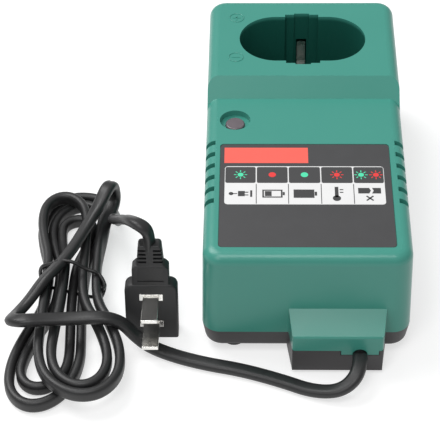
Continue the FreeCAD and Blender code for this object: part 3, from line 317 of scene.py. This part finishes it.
# The polarity marks: a ringed plus and a ringed minus, moulded with the top shell and
# raised a little, beside the ends of the well.
MM = 0.001
FRONT = -74.0
TOP_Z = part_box("top_housing")[1][2] / MM
MARK_R = 3.0
MARK_LINE = 0.28
MARK_RISE = 0.16
MARK_SIDES = 36
MARK_LINE_SIDES = 10
SIGN_L = 3.4
SIGN_W = 0.55
MARKS = [
    ((-27.9, 143.2), ((SIGN_L, SIGN_W), (SIGN_W, SIGN_L))),
    ((-28.0, 115.3), ((SIGN_L, SIGN_W),)),
]


def select_only(objects):
    """Selects objects and nothing else, and makes the first of them active."""
    bpy.ops.object.select_all(action="DESELECT")
    for each in objects:
        each.select_set(True)
    bpy.context.view_layer.objects.active = objects[0]


marks = []
for (x, y), bars in MARKS:
    place = (x * MM, (FRONT + y) * MM, TOP_Z * MM)
    bpy.ops.object.select_all(action="DESELECT")
    bpy.ops.mesh.primitive_torus_add(location=place, major_radius=MARK_R * MM, minor_radius=MARK_LINE * MM,
                                     major_segments=MARK_SIDES, minor_segments=MARK_LINE_SIDES)
    marks.append(bpy.context.object)
    for wide, tall in bars:
        bpy.ops.mesh.primitive_cube_add(size=MM, location=place, scale=(wide, tall, 2 * MARK_RISE))
        marks.append(bpy.context.object)
select_only(marks)
bpy.ops.object.join()
polarity = bpy.context.object
polarity.name = "polarity_marks"
bpy.ops.object.transform_apply(location=True, rotation=True, scale=True)
polarity.data.materials.append(green.material)
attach(polarity, "case")


# The lamp and its window: two small lamps cast in clear resin on the board, under a round
# window of smoked plastic that stands in a recess of the top shell.
LENS_DARK = (0.12, 0.10, 0.115, 1)
LENS_PALE = (0.17, 0.145, 0.16, 1)
LED_DARK = (0.55, 0.55, 0.52, 1)
LED_PALE = (0.66, 0.66, 0.62, 1)
dress(["led_lens"], plain_finish("smoke lens", 200.0, LENS_DARK, LENS_PALE, 0.16))
dress(["status_leds"], plain_finish("LED resin", 300.0, LED_DARK, LED_PALE, 0.2))

# The plate: a rectangle of dark grey film with a satin surface, glued into a shallow
# recess in the top shell in front of the lamp.
PLATE_DARK = (0.050, 0.050, 0.052, 1)
PLATE_PALE = (0.060, 0.060, 0.063, 1)
dress(["rating_plate"],
      plain_finish("plate film", 120.0, PLATE_DARK, PLATE_PALE, 0.42, grain=(3000.0, 3.0, 0.1, 0.00005)))


# The plate's print, in flat inks on the film: a plain coral block over a table of lamp signs
# and pictures, for plugged in, charging, charged, too warm and battery failed. Places are
# in mm, x from the middle of the case and y from its front face.
PLATE_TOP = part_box("rating_plate")[1][2] / MM
INK = 0.03
INK_ROUGHNESS = 0.4
INK_SHADE = 0.94
COLUMNS = (-31.7, -19.4, -6.9, 5.8, 18.4, 30.5)
TABLE_LOW = 31.0
TABLE_MIDDLE = 43.3
TABLE_HIGH = 53.5
TABLE_CORNER = 1.4
CELL_CORNER = 0.8
RULE = 0.45
THIN_RULE = 0.3
RULE_END = 0.4
CORAL_LEFT, CORAL_RIGHT, CORAL_LOW, CORAL_HIGH = (-32.0, 1.1, 55.5, 64.9)
CORAL = (0.93, 0.13, 0.10)
INK_WHITE = (0.80, 0.80, 0.80)
INK_GREY = (0.055, 0.055, 0.057)
INK_DARK = (0.05, 0.05, 0.052)
INK_GREEN = (0.08, 0.74, 0.42)
INK_RED = (0.82, 0.045, 0.045)
DOT_R = 1.45
BURST_DOT_R = 1.16
RAYS = 8
RAY_HALF_W = 0.2
RAY_GAP = 0.15
RAY_END = 1.15
PAIR_OFF = 2.9
SIGN_Y = 48.4
PICTURE_Y = 37.2
DISC_SIDES = 28
# A picture's bars: the middle's x and y from the middle of its cell, the width and the height
BARS = [
    [(-2.2, 0.0, 2.0, 0.4), (0.4, 0.0, 2.6, 3.0), (2.4, 0.8, 1.4, 0.5), (2.4, -0.8, 1.4, 0.5),
     (4.2, 0.0, 0.8, 3.8)],
    [(-3.6, 0.0, 0.6, 4.6), (0.0, 2.0, 6.6, 0.6), (0.0, -2.0, 6.6, 0.6), (3.6, 0.0, 0.6, 4.6),
     (4.4, 0.0, 0.8, 1.8), (-1.6, 0.0, 2.6, 2.8)],
    [(-0.4, 0.0, 8.0, 4.8), (4.2, 0.0, 0.9, 2.2)],
    [(-0.4, 1.0, 1.4, 6.0), (1.5, 2.4, 1.4, 0.5), (1.5, 0.8, 1.4, 0.5)],
]
# The round parts of the pictures: the cell, the middle's x and y in it, and the radius
DISCS = [(0, -3.6, 0.0, 0.9), (3, -0.4, -2.6, 1.6)]
# The two halves of the failed battery, and the cross under them
HALVES = [
    [(-4.4, 0.2), (-0.2, 0.2), (0.5, 1.8), (-0.1, 3.4), (-4.4, 3.4)],
    [(0.9, 0.2), (4.4, 0.2), (4.4, 3.4), (1.0, 3.4), (1.6, 1.8)],
]
CROSS_Y = -2.6
CROSS_REACH = 1.3
CROSS_HALF_W = 0.22


def sheet(name, outlines, rise):
    """Flat outlines of corners in mm, as one object, made solid by extruding them by rise."""
    faces = []
    for outline in outlines:
        bpy.ops.object.select_all(action="DESELECT")
        bpy.ops.mesh.primitive_circle_add(vertices=len(outline), fill_type="NGON", calc_uvs=False)
        faces.append(bpy.context.object)
        # The circle's corners run clockwise, and an outline's the other way
        for vertex, corner in zip(faces[-1].data.vertices, reversed(outline)):
            vertex.co = Vector(corner) * MM
    select_only(faces)
    if faces[1:]:
        bpy.ops.object.join()
    way = tuple(c * MM for c in rise)
    bpy.ops.object.mode_set(mode="EDIT")
    bpy.ops.mesh.select_all(action="SELECT")
    bpy.ops.mesh.extrude_region_move(TRANSFORM_OT_translate={"value": way, "orient_type": "GLOBAL"})
    bpy.ops.mesh.select_all(action="SELECT")
    bpy.ops.mesh.normals_make_consistent(inside=False)
    bpy.ops.object.mode_set(mode="OBJECT")
    faces[0].name = name
    faces[0].data.name = name
    return faces[0]


def printed(name, outlines, layer, color):
    """Flat prints in one ink, each layer standing a little higher on the plate."""
    low = PLATE_TOP - INK
    flat = [[(x, FRONT + y, low) for x, y in outline] for outline in outlines]
    made = sheet(name, flat, (0, 0, INK * (1 + layer)))
    shade = tuple(INK_SHADE * c for c in color)
    ink = plain_finish(name + " ink", 200.0, shade + (1,), color + (1,), INK_ROUGHNESS)
    made.data.materials.append(ink.material)
    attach(made, "case")


def bar(x, y, wide, tall):
    """A rectangle about its middle."""
    left, right, low, high = x - wide / 2, x + wide / 2, y - tall / 2, y + tall / 2
    return [(left, low), (right, low), (right, high), (left, high)]


def disc(x, y, radius):
    """A round dot."""
    turns = [2 * math.pi * i / DISC_SIDES for i in range(DISC_SIDES)]
    return [(x + radius * math.cos(a), y + radius * math.sin(a)) for a in turns]


def burst(x, y):
    """A lamp that flashes: a dot with short rays round it."""
    ray = bar((RAY_GAP + RAY_END) / 2 + DOT_R, 0.0, RAY_END - RAY_GAP, 2 * RAY_HALF_W)
    shapes = [disc(x, y, BURST_DOT_R)]
    for i in range(RAYS):
        c, s = math.cos(2 * math.pi * i / RAYS), math.sin(2 * math.pi * i / RAYS)
        shapes.append([(x + u * c - v * s, y + u * s + v * c) for u, v in ray])
    return shapes


def rounded(wide, low, high, radius, steps=6):
    """The outline of a plate with rounded corners, across and up."""
    points = []
    for side, centre, start in ((1, low + radius, -90), (1, high - radius, 0),
                                (-1, high - radius, 90), (-1, low + radius, 180)):
        for i in range(steps + 1):
            a = math.radians(start + 90 * i / steps)
            middle = side * (wide / 2 - radius)
            points.append((middle + radius * math.cos(a), centre + radius * math.sin(a)))
    return points


cells = list(zip(COLUMNS, COLUMNS[1:]))
spots = [(a + b) / 2 for a, b in cells]
printed("coral_block", [bar((CORAL_LEFT + CORAL_RIGHT) / 2, (CORAL_LOW + CORAL_HIGH) / 2,
                            CORAL_RIGHT - CORAL_LEFT, CORAL_HIGH - CORAL_LOW)], 1, CORAL)
table_x = (COLUMNS[0] + COLUMNS[-1]) / 2
table_outline = rounded(COLUMNS[-1] - COLUMNS[0], TABLE_LOW, TABLE_HIGH, TABLE_CORNER)
printed("table_white", [[(table_x + x, y) for x, y in table_outline]], 1, INK_WHITE)
darks = []
for (a, b), spot in zip(cells, spots):
    cell = rounded(b - a - RULE, TABLE_MIDDLE + RULE / 2, TABLE_HIGH - RULE, CELL_CORNER)
    darks.append([(spot + x, y) for x, y in cell])
for x in COLUMNS[1:-1]:
    darks.append(bar(x, (TABLE_LOW + TABLE_MIDDLE) / 2, THIN_RULE, TABLE_MIDDLE - TABLE_LOW - 2 * RULE_END))
printed("table_dark", darks, 2, INK_GREY)
printed("green_signs", burst(spots[0], SIGN_Y) + [disc(spots[2], SIGN_Y, DOT_R)]
        + burst(spots[4] - PAIR_OFF, SIGN_Y), 3, INK_GREEN)
printed("red_signs", [disc(spots[1], SIGN_Y, DOT_R)] + burst(spots[3], SIGN_Y)
        + burst(spots[4] + PAIR_OFF, SIGN_Y), 3, INK_RED)
pictures = []
for spot, bars in zip(spots, BARS):
    pictures += [bar(spot + x, PICTURE_Y + y, wide, tall) for x, y, wide, tall in bars]
for cell, x, y, radius in DISCS:
    pictures.append(disc(spots[cell] + x, PICTURE_Y + y, radius))
for half in HALVES:
    pictures.append([(spots[4] + x, PICTURE_Y + y) for x, y in half])
for side in (-1, 1):
    corners = ((-1, -1), (1, -1), (1, 1), (-1, 1))
    pictures.append([(spots[4] + side * CROSS_REACH * c - d * CROSS_HALF_W,
                      PICTURE_Y + CROSS_Y + CROSS_REACH * c + side * d * CROSS_HALF_W) for c, d in corners])
printed("pictures", pictures, 3, INK_DARK)


# The mains cord: flat twin cord of black PVC, moulded flat round its two cores, with a
# shallow groove between them. It is folded by hand into a hank of narrow loops that fan
# out at both ends, with one strand back over them all to the fold at the top right.
CORD_W = 5.8
CORD_T = 4.0
CORD_STEP = 1.3
CORD_SIDES = 20
LINE_STEPS = 10
EDGE_ROUND = 0.86
FACE_ROUND = 0.72
GROOVE_DEPTH = 0.11
GROOVE_HALF_W = 0.55
PVC_DARK = (0.013, 0.013, 0.0135, 1)
PVC_PALE = (0.022, 0.022, 0.023, 1)
EXIT = (20.3, FRONT - 10.0, 10.4)
# From the case to the top of the hank
LEAD = [
    EXIT, (20.3, -92.5, 10.4), (13.7, -98.0, 5.4), (2.8, -96.0, 2.5), (-10.0, -90.0, 2.4),
    (-25.0, -84.6, 2.4), (-38.5, -81.6, 2.4), (-50.5, -77.6, 2.4), (-60.5, -73.0, 2.8),
    (-66.5, -70.6, 6.8), (-71.5, -69.6, 13.2), (-78.5, -70.0, 16.4), (-90.5, -69.8, 15.2),
    (-101.5, -71.4, 16.2), (-109.6, -73.4, 17.6), (-115.0, -70.0, 14.6), (-113.4, -63.0, 10.4),
    (-108.6, -55.6, 11.4), (-103.6, -48.6, 15.4), (-98.0, -40.5, 15.9), (-93.4, -30.5, 15.6),
    (-89.8, -20.0, 15.4), (-86.6, -12.4, 16.6), (-83.6, -6.6, 19.0), (-81.0, -1.2, 22.6),
    (-79.2, 5.0, 19.4), (-78.8, 5.0, 11.0), (-80.4, -2.0, 9.3),
]
# From the hank to the plug, into which its end runs
TAIL = [
    (-83.5, 10.5, 3.3), (-79.6, 4.0, 3.6), (-77.4, -3.0, 6.4), (-77.2, -10.0, 12.8), (-77.0, -18.5, 20.5),
    (-73.2, -33.5, 33.8), (-69.6, -46.0, 45.6), (-67.2, -51.6, 50.0), (-64.0, -55.8, 52.0),
    (-61.2, -57.0, 50.6), (-60.2, -55.8, 46.0), (-60.2, -56.3, 38.0),
]
HANK_X = -94.0
HANK_ENDS = (-7.5, -40.0, -83.0)
HANK_LOW = 3.4
HANK_HIGH = 9.5
# Each strand at the top, the waist and the bottom: its place across from the hank's middle, and its height
STRANDS = [
    (11.5, 10.4, 23.0), (-14.2, -9.3, -9.5), (4.6, 5.0, 18.0), (-6.4, -2.5, -4.5),
    (6.6, 0.8, 2.4), (-10.6, -4.7, -15.8), (10.8, 5.0, 6.8), (-14.9, -9.3, -20.1),
]
HEIGHTS = 3 * [(HANK_HIGH,) * 3] + [(HANK_LOW, HANK_HIGH, HANK_HIGH)] + 4 * [(HANK_LOW,) * 3]
# How far each turn reaches beyond its strands, and how far its tip leans to the right
TURNS = [
    (21.3, 3.0), (14.6, -1.0), (17.0, 2.0), (6.8, 0.5),
    (12.6, -2.0), (16.0, 1.5), (21.3, -3.0), (21.0, 1.0),
]
TURN_POINTS = 4
TAIL_SIDE = 13.5
# Where a strand's two middle points lie, as shares of the way: across, along and up
SWAY_FROM_END = (0.38, 0.9)
SWAY_FROM_WAIST = (0.1, 0.62)
ALONG = (0.35, 0.65)
RISE = (0.2, 0.8)
# The stretches on which the cord lies flat, is tilted, and stands on edge, as shares of its length
TILT_FROM = 0.118
TILT_TO = 0.17
FLAT_TO = 0.195
EDGE_TO = 0.93
TILT = -0.6
TWIST_LIMIT = 0.06
UP = Vector((0, 0, 1))
ACROSS = Vector((1, 0, 0))


def hank_route():
    """The hank's loops: each strand from one end over the waist to the other, and the turn after it."""
    points = []
    for n, (sides, heights) in enumerate(zip(STRANDS, HEIGHTS)):
        down = n % 2 == 0
        last = n == len(STRANDS) - 1
        stops = [(HANK_X + x, y, z) for x, y, z in zip(sides, HANK_ENDS, heights)]
        if not down:
            stops.reverse()
        for a, b, sway in zip(stops, stops[1:], (SWAY_FROM_END, SWAY_FROM_WAIST)):
            points.append(a)
            for shares in zip(sway, ALONG, RISE):
                points.append(tuple(p + share * (q - p) for p, q, share in zip(a, b, shares)))
        points.append(stops[-1])
        x0, y0, z0 = stops[-1]
        x1 = HANK_X + (TAIL_SIDE if last else STRANDS[n + 1][2 if down else 0])
        reach, lean = TURNS[n]
        way = -1 if down else 1
        step = math.pi / (TURN_POINTS + 1)
        out = 1 / math.cos(step / 2)
        for i in range(1, TURN_POINTS if last else TURN_POINTS + 1):
            c, s = math.cos(i * step), math.sin(i * step)
            points.append(((x0 + x1) / 2 + (x0 - x1) / 2 * out * c + lean * s,
                           y0 + way * reach * out * s, z0))
    return points


def nurbs_line(data, points, closed=False):
    """Adds a smooth line through given points, in mm, to a curve."""
    run = data.splines.new("NURBS")
    run.points.add(len(points) - 1)
    for point, (x, y, z) in zip(run.points, points):
        point.co = (x * MM, y * MM, z * MM, 1.0)
    run.order_u = 3
    run.use_cyclic_u = closed
    run.use_endpoint_u = not closed


def even_points(points, step):
    """Points at equal distances along a line of points."""
    reach = [0.0]
    for a, b in zip(points, points[1:]):
        reach.append(reach[-1] + (b - a).length)
    count = round(reach[-1] / step)
    even = []
    i = 0
    for k in range(count + 1):
        goal = reach[-1] * k / count
        while i < len(points) - 2 and reach[i + 1] < goal:
            i += 1
        span = max(reach[i + 1] - reach[i], 1e-12)
        even.append(points[i].lerp(points[i + 1], (goal - reach[i]) / span))
    return even


line = bpy.data.curves.new("cord line", "CURVE")
line.dimensions = "3D"
line.resolution_u = LINE_STEPS
nurbs_line(line, LEAD + hank_route() + TAIL)
line_object = bpy.data.objects.new("cord line", line)
scene.collection.objects.link(line_object)
bpy.context.view_layer.update()
drawn = line_object.evaluated_get(bpy.context.evaluated_depsgraph_get())
traced = bpy.data.meshes.new_from_object(drawn)
centres = even_points([v.co.copy() for v in traced.vertices], CORD_STEP * MM)
bpy.data.objects.remove(line_object)
bpy.data.meshes.remove(traced)

count = len(centres)
headings = [(centres[min(i + 1, count - 1)] - centres[max(i - 1, 0)]).normalized() for i in range(count)]
carried = UP.cross(headings[0]).normalized()
turned = 0.0
shape = bmesh.new()
rings = []
for i, (centre, t) in enumerate(zip(centres, headings)):
    share = i / (count - 1)
    carried = (carried - t * carried.dot(t)).normalized()
    beside = t.cross(carried)
    if share < FLAT_TO:
        wanted = UP.cross(t)
    elif share < EDGE_TO:
        wanted = UP - t * UP.dot(t)
    else:
        wanted = ACROSS - t * ACROSS.dot(t)
    wanted.normalize()
    lean = math.atan2(wanted.dot(beside), wanted.dot(carried))
    if TILT_FROM < share < TILT_TO:
        lean += TILT
    off = (lean - turned + math.pi / 2) % math.pi - math.pi / 2
    turned += max(-TWIST_LIMIT, min(TWIST_LIMIT, off))
    wide = carried * math.cos(turned) + beside * math.sin(turned)
    thin = beside * math.cos(turned) - carried * math.sin(turned)
    ring = []
    for k in range(CORD_SIDES):
        u = 2 * math.pi * k / CORD_SIDES
        c = math.copysign(abs(math.cos(u)) ** EDGE_ROUND, math.cos(u)) * CORD_W / 2
        s = math.copysign(abs(math.sin(u)) ** FACE_ROUND, math.sin(u)) * CORD_T / 2
        s *= 1.0 - GROOVE_DEPTH * math.exp(-(c / GROOVE_HALF_W) ** 2)
        ring.append(shape.verts.new(centre + (wide * c + thin * s) * MM))
    rings.append(ring)
for low, high in zip(rings, rings[1:]):
    for k in range(CORD_SIDES):
        j = (k + 1) % CORD_SIDES
        shape.faces.new((low[k], low[j], high[j], high[k]))
shape.faces.new(rings[0][::-1])
shape.faces.new(rings[-1])
bmesh.ops.recalc_face_normals(shape, faces=shape.faces)
mesh = bpy.data.meshes.new("mains_cord")
shape.to_mesh(mesh)
shape.free()
mesh.shade_smooth()
cord = bpy.data.objects.new("mains_cord", mesh)
scene.collection.objects.link(cord)

pvc = Finish("black PVC")
patches = pvc.noise(140.0, 3.0, 0.6)
pvc.set(base_color=pvc.mix(patches, PVC_DARK, PVC_PALE), roughness=0.34 + patches * 0.16,
        normal=pvc.bump(pvc.noise(2600.0), 0.12, 0.0001))
cord.data.materials.append(pvc.material)
dress(["mains_cord_inside"], pvc)
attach(cord, "case")
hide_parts("mains_cord_lead", "mains_cord_hank", "mains_cord_tail")


# The tie: a wire in thin black plastic, once round the waist of the hank and over the
# strand that crosses it, with its two ends bent aside on the right.
TIE_R = 0.75
TIE_STEPS = 6
TIE_ROUNDNESS = 3
TIE_DARK = (0.010, 0.010, 0.011, 1)
TIE_PALE = (0.02, 0.02, 0.02, 1)
TIE_LOOP = [
    (-106.6, -37.0, 4.0), (-106.4, -37.2, 12.0), (-101.5, -38.6, 14.6), (-97.6, -39.6, 17.8),
    (-92.0, -40.4, 17.6), (-87.5, -41.4, 14.4), (-81.6, -42.4, 13.4), (-80.2, -44.6, 6.0),
    (-82.4, -44.6, 0.9), (-94.0, -41.0, 0.9), (-104.6, -37.4, 0.9),
]
TIE_ENDS = [
    [(-82.4, -42.2, 13.2), (-79.8, -44.8, 11.0), (-79.6, -48.6, 9.4), (-81.2, -51.0, 7.6)],
    [(-80.6, -43.6, 9.6), (-78.8, -46.4, 10.0), (-80.4, -49.6, 11.2)],
]

wire = bpy.data.curves.new("tie line", "CURVE")
wire.dimensions = "3D"
wire.resolution_u = TIE_STEPS
wire.bevel_depth = TIE_R * MM
wire.bevel_resolution = TIE_ROUNDNESS
wire.use_fill_caps = True
nurbs_line(wire, TIE_LOOP, closed=True)
for end in TIE_ENDS:
    nurbs_line(wire, end)
cord_tie = bpy.data.objects.new("cord_tie", wire)
scene.collection.objects.link(cord_tie)
select_only([cord_tie])
bpy.ops.object.convert(target="MESH")
cord_tie.data.shade_smooth()
tie = plain_finish("tie plastic", 400.0, TIE_DARK, TIE_PALE, 0.38, grain=(1500.0, 2.0, 0.2, 0.0001))
cord_tie.data.materials.append(tie.material)
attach(cord_tie, "case")
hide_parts("hank_tie")


# The plug: moulded in black PVC, flat, with a narrower neck and a tapered strain relief cut
# by short slots. It stands on its end face beside the hank, leaning back from the viewer.
PLUG_AT = (-60.2, -65.0, 0.0)
PLUG_LEAN = math.radians(8.0)
PLUG_W = 20.6
PLUG_H = 25.4
PLUG_D = 6.8
PLUG_CORNER = 3.2
PLUG_EDGE = 0.9
SPARE = 4.0
NECK_W = 14.3
NECK_TOP = 34.2
NECK_ROOT = 3.0
NECK_FRONT = 0.35
NECK_BACK = PLUG_D - 0.5
NECK_CHAMFER = 1.6
NECK_EDGE = 0.5
PANEL_SIDE = 2.0
PANEL_TAPER = 0.6
PANEL_FROM = 1.3
PANEL_TO = 0.9
PANEL_DEPTH = 0.75
RELIEF_LOW_W = 10.7
RELIEF_W = 9.0
RELIEF_TOP = 43.4
RELIEF_ROOT = 2.0
RELIEF_FRONT = 0.5
RELIEF_BACK = 6.3
RELIEF_CHAMFER = 0.8
RELIEF_EDGE = 0.7
SLOT_ROWS = 4
SLOT_H = 0.9
SLOT_IN = 1.35
SLOT_OUT = 6.5
SLOT_DEPTH = 2.0
SLOT_FROM = 1.3
SLOT_SPAN = RELIEF_TOP - NECK_TOP - 2.2
CUT_FROM = -1.0
LEVEL_W = 40.0
LEVEL_FRONT = -5.0
LEVEL_BACK = 15.0
LEVEL_LOW = -12.0
EDGE_STEPS = 3
EDGE_ANGLE = math.radians(40.0)
SMOOTH_ANGLE = math.radians(35.0)
PLUG_DARK = (0.016, 0.016, 0.017, 1)
PLUG_PALE = (0.024, 0.024, 0.025, 1)


def slab(name, outline, front, back, edge=0.0):
    """An upright flat piece: an outline across and up, from front to back, with rounded edges if any."""
    made = sheet(name, [[(x, front, z) for x, z in outline]], (0, back - front, 0))
    if edge:
        soft = made.modifiers.new("edge", "BEVEL")
        soft.width = edge * MM
        soft.segments = EDGE_STEPS
        soft.angle_limit = EDGE_ANGLE
        bpy.ops.object.modifier_apply(modifier=soft.name)
    return made


def shouldered(low_wide, wide, low, high, chamfer):
    """The outline of a block with its two top corners cut off."""
    foot, half = low_wide / 2, wide / 2
    return [(-foot, low), (foot, low), (half, high - chamfer), (half - chamfer, high),
            (chamfer - half, high), (-half, high - chamfer)]


def combine(made, others, operation):
    """Joins other solids to a piece, with UNION, or cuts them from it, with DIFFERENCE."""
    for other in others:
        select_only([made])
        joint = made.modifiers.new("joint", "BOOLEAN")
        joint.operation = operation
        joint.solver = "EXACT"
        joint.object = other
        bpy.ops.object.modifier_apply(modifier=joint.name)
        bpy.data.objects.remove(other)


def lean_back(made):
    """Stands a piece of the plug at its place, leaning back."""
    select_only([made])
    made.location = Vector(PLUG_AT) * MM
    made.rotation_euler = (-PLUG_LEAN, 0.0, 0.0)
    bpy.ops.object.transform_apply(location=True, rotation=True, scale=True)


body = slab("plug", rounded(PLUG_W, -SPARE, PLUG_H, PLUG_CORNER), 0.0, PLUG_D, PLUG_EDGE)
neck = slab("neck", shouldered(NECK_W, NECK_W, PLUG_H - NECK_ROOT, NECK_TOP, NECK_CHAMFER),
            NECK_FRONT, NECK_BACK, NECK_EDGE)
relief_outline = shouldered(RELIEF_LOW_W, RELIEF_W, NECK_TOP - RELIEF_ROOT, RELIEF_TOP, RELIEF_CHAMFER)
relief = slab("relief", relief_outline, RELIEF_FRONT, RELIEF_BACK, RELIEF_EDGE)
slots = []
for i in range(SLOT_ROWS):
    z = NECK_TOP + SLOT_FROM + i * SLOT_SPAN / SLOT_ROWS
    for side in (-1, 1):
        outline = bar(side * (SLOT_OUT + SLOT_IN) / 2, z + SLOT_H / 2, SLOT_OUT - SLOT_IN, SLOT_H)
        slots.append(slab("slot", outline, CUT_FROM, SLOT_DEPTH))
combine(relief, slots, "DIFFERENCE")
combine(body, [neck, relief], "UNION")

# Under the lean, a level cut through the spare height leaves the end face flat on the table
slope = math.tan(PLUG_LEAN)
left = -LEVEL_W / 2
level_outline = [(left, LEVEL_FRONT, LEVEL_LOW), (left, LEVEL_BACK, LEVEL_LOW),
                 (left, LEVEL_BACK, LEVEL_BACK * slope), (left, LEVEL_FRONT, LEVEL_FRONT * slope)]
level = sheet("level", [level_outline], (LEVEL_W, 0, 0))
low, high = NECK_W / 2 - PANEL_SIDE, NECK_W / 2 - PANEL_SIDE - PANEL_TAPER
panel = slab("panel", [(-low, PLUG_H + PANEL_FROM), (low, PLUG_H + PANEL_FROM),
                       (high, NECK_TOP - PANEL_TO), (-high, NECK_TOP - PANEL_TO)], CUT_FROM, PANEL_DEPTH)
combine(body, [level, panel], "DIFFERENCE")
lean_back(body)
body.data.shade_smooth()
body.data.set_sharp_from_angle(angle=SMOOTH_ANGLE)
plug = Finish("plug PVC")
plug_patches = plug.noise(90.0, 4.0, 0.6)
plug.set(base_color=plug.mix(plug_patches, PLUG_DARK, PLUG_PALE), roughness=0.42 + plug_patches * 0.14,
         normal=plug.bump(plug.noise(3200.0, 3.0), 0.25, 0.00015))
body.data.materials.append(plug.material)
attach(body, "case")
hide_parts("plug_body")


# The blades: two flat nickel-plated blades moulded into the plug's face, one over the
# other, each with a low collar round its root.
BLADE_W = 6.35
BLADE_T = 1.5
BLADE_OUT = 15.9
BLADE_ROOT = 2.0
BLADE_EDGE = 0.25
BLADE_HEIGHTS = (6.9, 19.6)
COLLAR_W = 9.2
COLLAR_H = 2.9
COLLAR_OUT = 0.35
COLLAR_ROOT = 1.0
COLLAR_EDGE = 0.12

parts = []
for z in BLADE_HEIGHTS:
    blade = slab("blades", bar(0.0, z, BLADE_W, BLADE_T), -BLADE_OUT, BLADE_ROOT, BLADE_EDGE)
    collar = slab("collar", bar(0.0, z, COLLAR_W, COLLAR_H), -COLLAR_OUT, COLLAR_ROOT, COLLAR_EDGE)
    combine(blade, [collar], "UNION")
    parts.append(blade)
blades = parts[0]
combine(blades, parts[1:], "UNION")
lean_back(blades)
blades.data.materials.append(nickel.material)
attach(blades, "case")
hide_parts("plug_blades")
